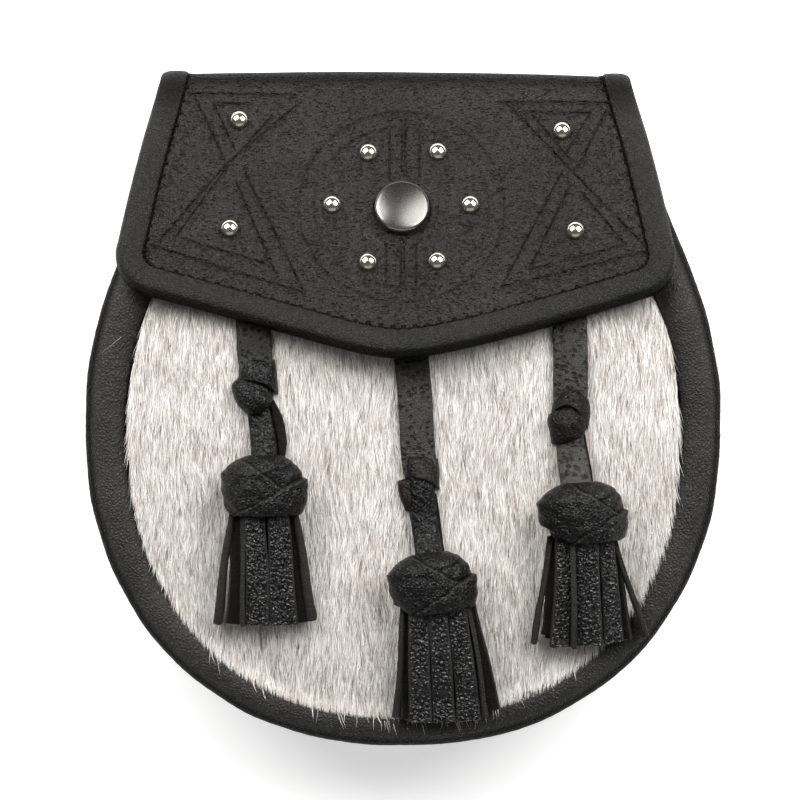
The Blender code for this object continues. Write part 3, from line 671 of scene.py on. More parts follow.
# %% Belt loops
LOOP_WIDTH = 20.0
LOOP_X = 35.0
LOOP_SEAM = 8.2  # how far each row of stitches reaches to both sides
DOWN = (0.0, 0.0, -1.0)

foot = BACK_RISE - GAP - 0.5 * LEATHER
key_places = [(40.0, foot), (45.5, foot), (48.0, 0.3 * foot + 0.5), (50.5, 1.15), (59.0, 1.1)]
key_places += [(118.0 - y, z) for y, z in key_places[-2::-1]]
profile = smoothed(resampled(key_places, 0.5)[0], 4)
profile[:, 1] = np.maximum(profile[:, 1], 0.5 * LEATHER)
for side, name in ((-1, "belt_loop_left"), (1, "belt_loop_right")):
    path = np.column_stack([np.full(len(profile), side * LOOP_X), profile])
    shape = Shape()
    tube(shape, bar_rings(path, *directions(path, DOWN), LOOP_WIDTH, LEATHER))
    shape.piece(f"{name}_leather", [grained_cowhide], [name])
    shape = Shape()
    for y in (41.5, 44.5, 73.5, 76.5):
        middle = np.array([side * LOOP_X, y, foot - 0.5 * LEATHER])
        row, _ = resampled([middle - (LOOP_SEAM, 0, 0), middle + (LOOP_SEAM, 0, 0)], 1.0)
        sew(shape, row, np.tile(DOWN, (len(row), 1)), BACK_THREAD)
    shape.piece(f"{name}_stitches", [waxed_thread])
print("belt loops", 2 * LOOP_X, "mm apart")

# %% [markdown]
# ## The edge roll
#
# Round the front runs a cord covered in cowhide, about 13 mm thick. The leather is pulled
# over it, so it shows small folds across the bends. It is swept as a round tube, and the
# folds are moved in the mesh, deeper on the side towards the fur.

# %% Edge roll
ROLL_TOP = 70.0
ROLL_SIDES = 36
FOLD_HEIGHT = 0.08
SAG_HEIGHT = 0.14
INNER_SWELL = 0.5  # the roll is fuller towards the fur

points, outward, along = outline(ROLL_TOP, ROLL_RADIUS, 0.9)
cosine, sine = circle(ROLL_SIDES)
folds = waves(along[:, None] / 2.4, 1.6 * cosine, 1.0, 11)
slow = waves(along[:, None], 9.0 * sine, 26.0, 12)
inner = 0.5 - 0.5 * cosine
reach = ROLL_RADIUS - 0.05 + FOLD_HEIGHT * folds * (0.4 + inner) + SAG_HEIGHT * slow
reach += INNER_SWELL * inner**2
ends = np.minimum(1.0, np.minimum(along, along[-1] - along) / 3.0)[:, None]
reach *= np.sqrt(np.clip(ends * (2.0 - ends), 0.02, 1.0))
centre = np.column_stack([points, roll_z(points[:, 1])])
side = np.column_stack([outward, np.zeros(len(outward))])
ring = side[:, None] * cosine[:, None] + np.array([0, 0, 1.0]) * sine[:, None]
shape = Shape()
# Painted shade: the roll's outer side, turned away from the lamps, is darkened in colour.
outer_side_shade = 0.9 * ramp(sine, 0.88, -0.2) * (cosine > 0.0)
tube(shape, centre[:, None] + ring * reach[..., None], pressed=outer_side_shade)
edge_roll = shape.piece("edge_roll_leather", [roll_cowhide], ["edge_roll"])
print("edge roll", round(along[-1], 1), "mm long")

# %% [markdown]
# ## The flap
#
# The flap is one piece of grained cowhide. Its front was tooled before it was sewn: double
# lines pressed in with a blunt blade make two hourglasses, a ring and short bars, a common
# kind of geometric border work. The lines are real grooves here. The flat outline is cut
# into triangles that follow each groove's middle and shoulders, and then the sheet is
# bent over the fold.

# %% The flap's outline
FLAP_AXIS = -2.2
FLAP_TOP_HALF_WIDTH = 70.2
FLAP_FLARE = 0.291
FLAP_FLARE_EASE = 0.00099
FLAP_EARS = 0.7  # how far the fold's two ends stand out
FLAP_TIP_Y = 15.5
FLAP_TIP_ROUND = 12.0
FLAP_EDGE_SLOPE = 0.29
FLAP_EDGE_SKEW = 0.8
FLAP_CORNER_RADIUS = 12.5


def flap_half_width(y):
    drop = np.maximum(0.0, FOLD_TOP - np.asarray(y, float))
    flare = FLAP_FLARE * drop - FLAP_FLARE_EASE * drop**2
    return FLAP_TOP_HALF_WIDTH + flare + FLAP_EARS * np.exp(-drop / 5.0)


def flap_lower_edge(x):
    """The height of the flap's lower edge, a wide blunt point."""
    rise = np.hypot(x, FLAP_TIP_ROUND) - FLAP_TIP_ROUND
    skew = FLAP_EDGE_SKEW * np.sin(math.pi * x / float(flap_half_width(FLAP_TIP_Y)))
    return FLAP_TIP_Y + FLAP_EDGE_SLOPE * rise - skew


def flap_half_edge(side):
    """One side of the bound edge, flat, from the fold's start to the lower tip."""
    slope = math.atan(FLAP_EDGE_SLOPE)
    centre_y = FLAP_TIP_Y
    for _ in range(20):
        centre_x = float(flap_half_width(centre_y)) - FLAP_CORNER_RADIUS
        rise = float(flap_lower_edge(side * centre_x))
        centre_y = rise + FLAP_CORNER_RADIUS / math.cos(slope)
    angle = np.linspace(math.radians(12.0), slope - 0.5 * math.pi, 30)
    corner_x = centre_x + FLAP_CORNER_RADIUS * np.cos(angle)
    corner_y = centre_y + FLAP_CORNER_RADIUS * np.sin(angle)
    fold = np.linspace(TAB_LENGTH, FRONT_FROM, 40)
    down = np.linspace(FRONT_TOP_Y, corner_y[0], 80)[1:-1]
    low_x = np.linspace(corner_x[-1], 0.0, 90)[1:]
    x = [flap_half_width(bent(fold)[0]), flap_half_width(down), corner_x, low_x]
    y = [down, corner_y, flap_lower_edge(side * low_x)]
    return side * np.concatenate(x), np.append(fold, along_flap(np.concatenate(y)))


print("flap", round(2 * float(flap_half_width(FLAP_TIP_Y)), 1), "mm wide at its corners")

# %% [markdown]
# The outline runs once round the bound edge, from the right end of the fold to the left
# one. It is drawn flat, and one function bends any flat place over the fold.

# %% The flap's edge
FOLD_CROWN_X = -15.0  # the fold stands highest here, and sags to both sides
FOLD_CROWN = 0.2
FOLD_SAG = 0.00024  # per millimetre
FOLD_SAG_ENDS = 16.0  # beyond the fold
EDGE_STEP = 0.8


def on_flap(x, along, height=0.0):
    """A place on the flap. Its fold isn't quite straight, so it sags a little at the sides."""
    x = FLAP_AXIS + np.asarray(x, float)
    y, z = bent(along, height)
    near_fold = ramp(along, FRONT_FROM + FOLD_SAG_ENDS, -FOLD_SAG_ENDS)
    sag = (FOLD_CROWN - FOLD_SAG * (x - FOLD_CROWN_X) ** 2) * near_fold
    return np.stack(np.broadcast_arrays(x, y + sag, z), -1)


right, left = (np.column_stack(flap_half_edge(side)) for side in (1, -1))
flap_edge, edge_along = resampled(np.concatenate([right, left[-2::-1]]), EDGE_STEP)
flap_edge = smoothed(flap_edge, 3)
edge_inward = left_of(flap_edge)
print("flap's bound edge", round(edge_along[-1], 1), "mm long")

# %% [markdown]
# The pattern is listed as it would be marked out on the leather: straight lines by their
# corners, and rings by their half widths. The lines were pressed by hand, so left and
# right aren't mirror images. The seam and the snap add grooves of their own, darkened
# with painted shade, and they join the list.

# %% Tooled lines, in millimetres as seen from the front
LEFT_LINES = [
    [(-62.6, 93.6), (-53.3, 74.2)],
    [(-56.8, 91.4), (-50.6, 77.9)],
    [(-49.9, 67.5), (-38.0, 40.4)],
    [(-46.9, 69.7), (-29.0, 33.8)],
    [(-31.9, 91.1), (-53.3, 72.6), (-72.2, 50.0)],
    [(-39.3, 87.7), (-50.6, 74.9), (-67.2, 51.5)],
    [(-65.0, 95.1), (-31.9, 94.2)],
    [(-56.5, 92.0), (-46.0, 91.4)],
    [(-74.0, 48.2), (-29.0, 34.1)],
    [(-65.1, 50.3), (-42.4, 43.6)],
]
RIGHT_LINES = [
    [(30.7, 92.3), (72.8, 47.0)],
    [(38.8, 88.3), (50.0, 74.5)],
    [(54.3, 63.3), (66.0, 48.5)],
    [(61.3, 90.5), (52.6, 72.4)],
    [(56.2, 88.9), (49.1, 76.7)],
    [(46.9, 69.7), (29.3, 35.9)],
    [(49.9, 66.6), (37.7, 41.8)],
    [(29.2, 92.3), (62.3, 92.9)],
    [(37.3, 89.2), (56.2, 89.2)],
    [(29.3, 35.9), (72.8, 46.7)],
    [(37.7, 41.2), (66.0, 48.5)],
]
BARS = [
    [(-4.1, 85.3), (-4.0, 69.7)],
    [(-0.3, 85.9), (-0.3, 70.6)],
    [(0.8, 85.9), (0.7, 70.6)],
    [(5.0, 85.3), (4.9, 69.7)],
    [(-5.1, 49.4), (-5.0, 35.6)],
    [(-0.6, 49.4), (-0.6, 35.0)],
    [(0.3, 49.4), (0.3, 35.0)],
    [(3.9, 49.4), (3.8, 35.6)],
]
RING_CENTRE = (-0.4, 60.1)
RINGS = [(30.7, 28.8, 0.6), (26.2, 24.2, 0.45)]  # half width, half height, depth share
LINE_DEPTH = 0.45
# How far points lie from a groove's middle: there, on its wall and at its edge, and then
# on the crest and the foot of the rim that is pushed up beside it.
LINE_STEPS = [0.0, 0.16, 0.42, 0.62, 0.84]
RIM_HEIGHT = 0.1
SEAM_INSET = 8.3
SEAM_PRESS = 1.6  # the seam's groove is deeper than the tooled lines, and nearly black with painted shade

SNAP_AT = (-0.3, 59.3)
SNAP_RING = 8.4  # a ring of this radius round the cap is grooved a little and darkened as painted shadow under its rim


def oval(centre, half_x, half_y):
    turn = np.linspace(0.0, 2 * math.pi, 97)[:, None]
    return centre + np.hstack([half_x * np.cos(turn), half_y * np.sin(turn)])


def spread(line):
    """A line seen from the front, on the flat sheet: across, and along the leather."""
    line = np.asarray(line, float)
    return np.column_stack([line[:, 0] - FLAP_AXIS, along_flap(line[:, 1])])


tooled = [(spread(line), 1.0) for line in LEFT_LINES + RIGHT_LINES]
tooled += [(spread(line), 0.8) for line in BARS]
tooled += [(spread(oval(RING_CENTRE, *halves)), share) for *halves, share in RINGS]
tooled.append(((flap_edge + edge_inward * SEAM_INSET)[1:-1:2], SEAM_PRESS))
tooled.append((oval(spread([SNAP_AT])[0], SNAP_RING, SNAP_RING), 0.8))
print(len(tooled), "tooled lines, the seam's groove among them")

# %% [markdown]
# Two questions can be asked about any flat place: how deep the lines press it, and whether
# it lies inside the sheet's border.

# %% Pressed places and places inside
def line_depth(points):
    """How deep the tooled lines press each place, and how far their rims lift it, as shares."""
    depth, rim = np.zeros(len(points)), np.zeros(len(points))
    edge, crest = LINE_STEPS[2:4]
    for line, share in tooled:
        for a, b in zip(line, line[1:]):
            ahead = b - a
            t = np.clip((points - a) @ ahead / (ahead @ ahead), 0.0, 1.0)
            away = np.linalg.norm(points - a - t[:, None] * ahead, axis=1)
            depth = np.maximum(depth, share * np.clip(1.0 - away / edge, 0.0, 1.0))
            lifted = 1.0 - np.abs(away - crest) / (crest - edge)
            rim = np.maximum(rim, share * np.clip(lifted, 0.0, 1.0))
    return depth, rim * (depth == 0.0)


def inside(points, polygon):
    x, y = points[:, 0], points[:, 1]
    found = np.zeros(len(points), bool)
    for (ax, ay), (bx, by) in zip(polygon, np.roll(polygon, -1, 0)):
        if ay != by:
            crosses = (ay > y) != (by > y)
            found ^= crosses & (x < (bx - ax) * (y - ay) / (by - ay) + ax)
    return found

# %% [markdown]
# A groove needs points along its middle and its shoulders, and they run at all angles, so
# a plain grid won't do. All the points are laid out flat with a looser scatter between the
# grooves, and a Delaunay triangulation joins them. Then each point gets its depth, and its
# place on the bent sheet.

# %% The flap's mesh
TAB_HALF_WIDTH = 58.0
SHEET_INSET = 2.6  # the sheet ends inside the binding
GROOVE_STEP = 1.6  # between points along a groove
SCATTER = 2.4
JITTER = 0.4
FOLD_STEPS = (4.0, 0.9)  # between points across the fold, and round it
HOLLOW = 0.16  # how far the flap's face is uneven

rim = flap_edge[::3] + edge_inward[::3] * SHEET_INSET
tab = np.array([(-TAB_HALF_WIDTH, TAB_LENGTH), (-TAB_HALF_WIDTH, 0.0)])
border = np.concatenate([rim, tab, (tab * (-1.0, 1.0))[::-1]])
points = [border]
edges = [(i, (i + 1) % len(border)) for i in range(len(border))]
count = len(border)
for line, _ in tooled:
    fine, _ = resampled(line, GROOVE_STEP)
    for offset in sorted({s * side for s in LINE_STEPS for side in (-1, 1)}):
        points.append(fine + left_of(fine) * offset)
        edges += [(count + i, count + i + 1) for i in range(len(fine) - 1)]
        count += len(fine)
dice = np.random.RandomState(5)
columns, rows = np.arange(-90, 90, SCATTER), np.arange(FRONT_FROM, 120, SCATTER)
front = np.stack(np.meshgrid(columns, rows), -1).reshape(-1, 2)
front += dice.uniform(-JITTER, JITTER, front.shape)
wide, round_fold = FOLD_STEPS
fold = np.meshgrid(np.arange(-70, 71, wide), np.arange(round_fold, FRONT_FROM, round_fold))
loose = np.concatenate([front, np.stack(fold, -1).reshape(-1, 2)])
loose = loose[inside(loose, border)]
loose = loose[np.maximum(*line_depth(loose)) == 0.0]
points = np.concatenate(points + [loose])
found = delaunay_2d_cdt([Vector(p) for p in points], edges, [list(range(len(border)))], 1, 1e-4)
flat = np.array([tuple(p) for p in found[0]])
faces = np.array([f for f in found[2] if len(f) == 3])
depth, rim = line_depth(flat)
hollow = HOLLOW * waves(*flat.T, 34.0, 21) * ramp(flat[:, 1], 20.0, 20.0)
top = on_flap(*flat.T, RIM_HEIGHT * rim - LINE_DEPTH * depth + hollow - 0.1)
# Painted shade on the fold, and in the grooves, where the darkening is partly the tool's burnish
# and partly painted shade; the seam's groove is nearly black.
fold_shade = ramp(flat[:, 1], FRONT_FROM + 1.5, -4.0)
pressed = np.maximum(np.minimum(0.36 * depth**2 + 0.1 * depth, 0.95), 0.75 * fold_shade)
shape = Shape()
shape.add(top, faces, pressed=pressed)
flap = shape.piece("flap_leather", [grained_cowhide], ["flap"], turn=False)
print("flap", len(flat), "points,", len(faces), "triangles")

# %% [markdown]
# The tooled sheet still needs its thickness. Solidify adds it on the inner side, so that
# the grooves stay as they were cut.

# %% The flap's thickness
normals = np.array([p.normal[:] for p in flap.data.polygons])
if normals[:, 2].sum() < 0:
    flap.data.flip_normals()
made = flap.modifiers.new("Wall", "SOLIDIFY")
made.thickness, made.offset = (FLAP_LEATHER - 0.2) * MM, -1.0
print("flap's sheet", round(made.thickness / MM, 1), "mm thick")

# %% [markdown]
# ## The flap's binding
#
# A strip of thinner calf is folded over the flap's raw edge and sewn through. Each stitch
# pulls its inner edge down, so the edge looks scalloped, and at the corners the strip
# puckers. The section is drawn once as a closed loop and repeated round the edge, and the
# dips and puckers are added to its heights before the rings are joined.

# %% Binding
# The section's points: how far inside the flap's edge, and how high over its face.
BINDING_SECTION = [
    (8.05, 0.12), (8.15, 0.45), (8.0, 0.85), (7.5, 1.08), (6.6, 1.24), (5.4, 1.38),
    (4.2, 1.45), (3.0, 1.42), (2.0, 1.24), (1.2, 0.9), (0.6, 0.4), (0.2, -0.25),
    (0.0, -1.1), (0.0, -1.7), (0.1, -2.6), (0.5, -3.3), (1.2, -3.72), (2.4, -3.9),
    (4.0, -3.92), (6.0, -3.9), (7.6, -3.86), (8.0, -3.5), (8.0, -3.0), (7.6, -2.85),
    (1.6, -2.85), (1.1, -2.5), (1.1, -0.9), (2.4, 0.02), (7.5, 0.08),
]  # fmt: skip
STITCH_DIP = 0.14
STITCH_DIP_REACH = 0.75
PUCKER = 0.16  # the folds where the strip goes round a corner
SWELL = 0.07  # how uneven it is elsewhere
FLAT_ON_FOLD = 0.68  # the strip is pulled flatter over the fold

across, level = np.array(BINDING_SECTION).T
holes = round(edge_along[-1] / STITCH_PITCH)
pitch = edge_along[-1] / holes
phase = np.abs((edge_along / pitch + 0.5) % 1.0 - 0.5) * pitch
near_seam = ramp(across, 6.0, 1.8) * (level > 0.0)
pull = np.exp(-((phase / STITCH_DIP_REACH) ** 2))[:, None] * near_seam
distance = across - 0.1 * pull
heading = np.unwrap(np.arctan2(edge_inward[:, 1], edge_inward[:, 0]))
bend = np.minimum(1.0, np.abs(np.gradient(heading)) / EDGE_STEP / 0.1)
uneven = SWELL * waves(edge_along, 0.0, 11.0, 31) + PUCKER * bend * waves(edge_along, 0.0, 2.6, 33)
height = level - STITCH_DIP * pull * (level > 0.3) + uneven[:, None] * (level > 0.7)
on_front = ramp(flap_edge[:, 1:], FRONT_FROM, 14.0)
flatter = FLAT_ON_FOLD + (1.0 - FLAT_ON_FOLD) * on_front
height = np.where(level > 0.0, height * flatter, height)
place = flap_edge[:, None] + edge_inward[:, None] * distance[..., None]
# Painted shade: the binding's outer edge, most where it faces down, its underside and its part on
# the fold are darkened in colour, and so are the dips at the stitches.
facing_down = np.clip(-edge_inward[:, 1:], 0.0, 1.0)
rim_shade = (0.35 + 0.35 * facing_down) * ramp(distance, 1.9, -0.8) + 0.85 * (level < -1.0)
rim_shade = np.maximum(np.minimum(rim_shade, 0.9), 0.6 * (1.0 - on_front))
shape = Shape()
dark = np.maximum(0.3 * pull, rim_shade)
tube(shape, on_flap(place[..., 0], place[..., 1], height), pressed=dark)
shape.piece("flap_binding_leather", [binding_calf], ["flap_binding"])
print("binding", round(edge_along[-1], 1), "mm long, puckered over", (bend > 0.5).sum(), "rings")

# %% [markdown]
# The thread lies in the step beside the binding, just above the flap's face. Where it
# dips into a hole, a knob of black thread lies across the step. The knobs are drawn larger
# than the thread, so that they also stand for the painted shade in the holes, and they are
# largest at the flap's tip, where the most leather comes together.

# %% The binding's seam
SEAM_THREAD = 0.22
KNOB_RADIUS = 0.5
KNOB_GROWTH = 0.5  # at the tip

seam = flap_edge + edge_inward * SEAM_INSET
path = on_flap(*seam.T, -0.1)
lift = on_flap(*seam.T, 0.9) - path
inward = unit(on_flap(*(seam + edge_inward).T, -0.1) - path)
shape = Shape()
sew(shape, path, lift, SEAM_THREAD, cover=0.9, sink=0.2)
spots = at_stations(np.hstack([path, inward, lift]), edge_along, (np.arange(holes) + 0.5) * pitch)
reach = np.linspace(-0.5, 0.95, 5)[:, None]
arch = 0.12 - 0.1 * (reach / 0.95) ** 2
cosine, sine = (part[:, None] for part in circle(8))
dice = np.random.RandomState(13)
# Each knob is black thread, drawn large enough to stand for the painted shade in its hole.
for spot in spots:
    middle, ahead, up = spot[:3], unit(spot[3:6]), unit(spot[6:])
    from_tip = ((middle[0] + 4.0) / 16.0) ** 2 + max(0.0, middle[1] - 40.0)
    grown = dice.uniform(0.85, 1.2) + KNOB_GROWTH * math.exp(-from_tip)
    line = middle + ahead * reach * grown + up * arch
    ring = np.cross(ahead, up) * cosine + 0.6 * up * sine
    tube(shape, line[:, None] + KNOB_RADIUS * grown * ring)
shape.piece("flap_binding_stitches", [waxed_thread])
print(holes, "stitches", round(pitch, 2), "mm apart")

# %% [markdown]
# ## Snap and rivets
#
# The snap's cap is stamped from steel sheet and satin finished, so its highlight is broad
# and soft. The rivets are domed, nickel plated and polished, and mirror the lamps. Both
# are turned profiles: a short list of radii and heights, made round by a ring of points.
# Satin scratches are far finer than a pixel, so they are drawn 0.2 mm apart.

# %% Metals
SCRATCHES = 0.2

satin_steel, tree, place = new_material("Satin stamped steel")
scratches = {"Vector": place, "Size": SCRATCHES, "Detail": 3.0, "Roughness": 0.7}
scratches = node(tree, "TexNoise", scratches)
breath = node(tree, "TexNoise", {"Vector": place, "Size": 6.0, "Detail": 2.0, "Roughness": CLOUD})
# Painted highlight: paler steel along the lower side of the cap's rim.
rubbed = node(tree, "Attribute", output="Fac", attribute_name="rubbed")
steel = node(tree, "Mix", {0: breath, 6: srgb("575553"), 7: srgb("696663")}, **COLOURS)
steel_inputs = {
    "Base Color": node(tree, "Mix", {0: rubbed, 6: steel, 7: srgb("a5a29d")}, **COLOURS),
    "Roughness": node(tree, "MapRange", [scratches, 0.3, 0.7, 0.2, 0.3], **SMOOTH),
    "Normal": node(tree, "Bump", {"Height": scratches, "Distance": 0.003 * MM}),
    "Metallic": 1.0,
}
feed(tree.nodes["Principled BSDF"], steel_inputs)

polished_nickel, tree, place = new_material("Polished nickel plate")
haze = {"Vector": place, "Size": 1.1, "Detail": 3.0, "Roughness": CLOUD}
haze = node(tree, "TexNoise", haze)
nickel_inputs = {
    "Base Color": node(tree, "Mix", {0: haze, 6: srgb("d3c9ba"), 7: srgb("e2dbd0")}, **COLOURS),
    "Roughness": node(tree, "MapRange", [haze, 0.3, 0.7, 0.1, 0.2], **SMOOTH),
    "Metallic": 1.0,
}
feed(tree.nodes["Principled BSDF"], nickel_inputs)
print("metals:", satin_steel.name, "and", polished_nickel.name)

# %% [markdown]
# A turned piece is placed like a tool on the leather: its axis stands square on the sloping
# flap, so from the front its circle looks a little flat. The cap's rim gets a painted
# highlight, a bright line of paler steel at its lower side.

# %% Snap cap and rivets
def turned(profile, x, y, height, sides):
    """A turned piece that stands on the flap's face, at a place seen from the front."""
    radius, level = np.array(profile, float).T[..., None]
    cosine, sine = circle(sides)
    across, along = spread([(x, y)])[0]
    base = on_flap(across, along)
    up = on_flap(across, along, 1.0) - base
    down = unit(on_flap(across, along + 1.0) - base)
    local = (level + height)[..., None] * up - (radius * sine)[..., None] * down
    return base + local + (radius * cosine)[..., None] * np.array([1.0, 0, 0])


# Radii and heights of the cap's edge and foot, below its dome.
CAP_EDGE = [
    (7.65, 2.6), (8.0, 2.35), (8.23, 1.98), (8.3, 1.5), (8.28, 1.05), (8.15, 0.7),
    (7.9, 0.45), (7.2, 0.3), (0.02, 0.3),
]  # fmt: skip
CAP_HEIGHT = 3.35
CAP_TILT = 0.1  # the cap isn't quite level, and leans a little to the right

dome = [(7.2 * s, CAP_HEIGHT - 0.6 * s**2) for s in np.linspace(0.0, 1.0, 14)[1:]]
cap_profile = np.array([(0.02, CAP_HEIGHT)] + dome + CAP_EDGE)
cap_points = turned(cap_profile, *SNAP_AT, GAP, 96)
leaning = CAP_TILT * cap_profile[:, 1:] / CAP_HEIGHT
cap_points[..., 2] -= leaning * (cap_points[..., 0] - SNAP_AT[0])
# The painted highlight covers the rim's lower side.
low_side = unit(cap_points - cap_points[:1]) @ unit(np.array([-0.5, -0.9, 0.0]))
rubbed = ramp(cap_profile[:, :1], 7.1, 0.5) * np.clip(0.1 + 1.1 * low_side, 0.0, 1.0)
shape = Shape()
tube(shape, cap_points, rubbed=rubbed)
shape.piece("snap_cap_steel", [satin_steel], ["snap_cap"], sharp=60)

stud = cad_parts["snap_stud"]
stud.data.materials.clear()
stud.data.materials.append(satin_steel)

RIVETS = [
    (-49.2, 86.5), (47.7, 83.2), (-51.6, 53.4), (51.3, 52.8), (-10.4, 76.4),
    (10.4, 76.7), (-21.2, 60.6), (20.0, 60.6), (-10.4, 43.3), (10.1, 43.6),
]  # fmt: skip
angle = np.linspace(math.radians(90), 0.0, 14)
rivet_dome = [(2.85 * math.cos(a), 0.15 + 2.2 * math.sin(a)) for a in angle[1:]]
rivet_profile = [(0.02, 2.35)] + rivet_dome + [(2.7, 0.0), (0.02, 0.0)]
for number, (x, y) in enumerate(RIVETS, 1):
    shape = Shape()
    tube(shape, turned(rivet_profile, x, y, GAP - 0.25, 48))
    name = f"rivet_{number:02d}"
    shape.piece(f"{name}_dome", [polished_nickel], [name], sharp=60)
print(len(RIVETS), "rivets of 5.7 mm")

# %% [markdown]
# ## The furred hide
#
# The front is short-haired hide, left white with grey tips. Hair on a hide is a thick coat
# of single hairs that lie down one way, gather in small locks and hide each other. Bump on
# a flat wall can't show that, so the coat is made of real blades: each is a narrow ribbon
# from its root in the hide to a fine tip that lies over the hairs below it. The hairs are
# drawn a little wider than life, because a true hair is thinner than a pixel here.

# %% Hair and hide materials
hair_coat, tree, place = new_material("Short white and grey hair")
tone = node(tree, "Attribute", output="Fac", attribute_name="tone")
hair_colour = node(tree, "ValToRGB", [tone])
ramp_stops = hair_colour.node.color_ramp.elements
ramp_stops[0].color, ramp_stops[1].color = srgb("5c4d42"), srgb("fcfaf7")
ramp_stops.new(0.55).color = srgb("c2b6aa")
# A hair's scaly skin has a weak, soft gloss, so the coat shines in patches.
hair_inputs = {"Base Color": hair_colour, "Roughness": 0.5, "IOR": 1.55, "Specular IOR Level": 0.3}
feed(tree.nodes["Principled BSDF"], hair_inputs)

hide_under_fur, tree, place = new_material("Pale hide under the hair")
stretch = node(tree, "VectorMath", [place, (1.0, 0.12, 1.0)], operation="MULTIPLY")
streaks = {"Vector": stretch, "Size": 0.42, "Detail": 4.0, "Roughness": CLOUD}
streaks = node(tree, "TexNoise", streaks)
# The hide's darker tones are painted shade deep in the coat.
hide_inputs = {
    "Base Color": node(tree, "Mix", {0: streaks, 6: srgb("8f867b"), 7: srgb("ddd6cc")}, **COLOURS),
    "Normal": node(tree, "Bump", {"Height": streaks, "Distance": 0.3 * MM}),
    "Roughness": 0.8,
}
feed(tree.nodes["Principled BSDF"], hide_inputs)
print("hair:", hair_coat.name, "over", hide_under_fur.name)

# %% [markdown]
# Under the hair lies the hide itself, a thin domed sheet. It hardly shows, but it closes
# the pouch, and its streaks are a little darker than the hairs: painted shade, so that gaps read as
# depth.

# %% The hide
FRONT_TOP = 75.0
HAIR_DEPTH = 1.7

shape = Shape()
x, y = panel_rows(FRONT_TOP, FRONT_INSET, 2.2, 52)
shape.add(np.stack([x, y, front_z(x, y) - HAIR_DEPTH], -1), grid_faces(*x.shape)[:, ::-1])
hide = shape.piece("front_hide", [hide_under_fur], ["front_panel"], turn=False)
wall(hide, 1.5, -1.0, 0.3)
print("hide", x.shape, "points,", HAIR_DEPTH, "mm below the hair's face")

# %% [markdown]
# The coat ends in a line of tips. At the sides the hairs run along the roll, and at the
# bottom they reach over it by about five millimetres. Locks pull the tips of neighbouring
# hairs together, and slow waves turn whole areas a little, as a hand or a tassel does.

# %% The coat's edge
OVERHANG = 5.0
RIGHT_WIDER = 1.5  # the coat was trimmed wider on its right side

points, outward, _ = outline(60.0, FRONT_INSET, 1.0)
past = 1.5 + OVERHANG * np.maximum(0.0, -outward[:, 1]) ** 1.3
past += RIGHT_WIDER * ramp(points[:, 1], 32.0, -22.0) * np.maximum(0.0, outward[:, 0])
coat_edge = points + outward * past[:, None]
bottom = int(np.argmin(coat_edge[:, 1]))
right_edge, left_edge = coat_edge[: bottom + 1], coat_edge[bottom:][::-1]


def coat_limits(y):
    """How far the coat reaches to the left and to the right at this height."""
    left, right = (np.interp(-y, -edge[:, 1], edge[:, 0]) for edge in (left_edge, right_edge))
    return left, right


def coat_bottom(x):
    lower = coat_edge[coat_edge[:, 1] < -30.0]
    return np.interp(x, lower[::-1, 0], lower[::-1, 1])


def roll_top(x, y):
    """The height of the roll's surface beside the fur, or far below where it isn't."""
    off = edge_distance(x, y, 0.0) - ROLL_RADIUS
    rise = np.sqrt(np.maximum(ROLL_RADIUS**2 - off**2, 0.0))
    return np.where(np.abs(off) < ROLL_RADIUS, roll_z(y) + rise, -1e3)


print("coat ends at y", round(coat_edge[bottom, 1], 1), "mm")

# %% [markdown]
# Each hair starts at the hide, rises and lies down on the fur's face or over the roll. It
# narrows to a point, and it is twisted a little about its own length, so that neighbours
# catch the light differently.

# %% One hair after another
HAIR_WIDTH = 0.19
LOCK = 2.3
LOCK_ROW = 7.0
LOCK_PULL = 0.2
HAIR_BEND, HAIR_TWIST = 0.10, 0.5
HAIR_RISE = np.array([-HAIR_DEPTH, -0.35, 0.0])  # of its root, middle and tip
GREY_HAIRS = 0.28
WHITE = 0.94


def hairs(dice, root_x, root_y, length, lean, lift, width=HAIR_WIDTH):
    """Points and faces of each hair: a ribbon of one quad and a pointed end."""
    count = len(root_x)
    share = np.array([0.0, 0.5, 1.0])
    angle = lean[:, None] + dice.normal(0.0, HAIR_BEND, count)[:, None] * share
    step = length[:, None] * np.diff(share, prepend=0.0)
    x = root_x[:, None] + np.cumsum(np.sin(angle) * step, 1)
    y = root_y[:, None] - np.cumsum(np.cos(angle) * step, 1)
    row = 0.5 * np.floor(y / LOCK_ROW)
    lock_x = (np.floor(x / LOCK + row) + 0.5 - row) * LOCK
    x = x + LOCK_PULL * (lock_x - x) * share**2
    face = front_z(x, y) + HAIR_RISE + lift[:, None] * share
    middle = np.stack([x, y, np.maximum(face, roll_top(x, y) + 0.10 + 0.25 * share)], -1)
    twist = dice.normal(0.0, HAIR_TWIST, count)
    up = np.stack([np.sin(twist), 0 * twist, np.cos(twist)], 1)[:, None]
    across = unit(np.cross(unit(np.gradient(middle, axis=1)), up))
    wide = width * dice.uniform(0.7, 1.25, count)[:, None, None]
    half = 0.5 * wide * np.array([1.0, 0.9, 0.0])[:, None]
    left, right = middle - across * half, middle + across * half
    points = np.stack([left[:, 0], right[:, 0], left[:, 1], right[:, 1], middle[:, 2]], 1)
    start = 5 * np.arange(count)[:, None]
    return points, start + (0, 1, 3, 2), start + (2, 3, 4)


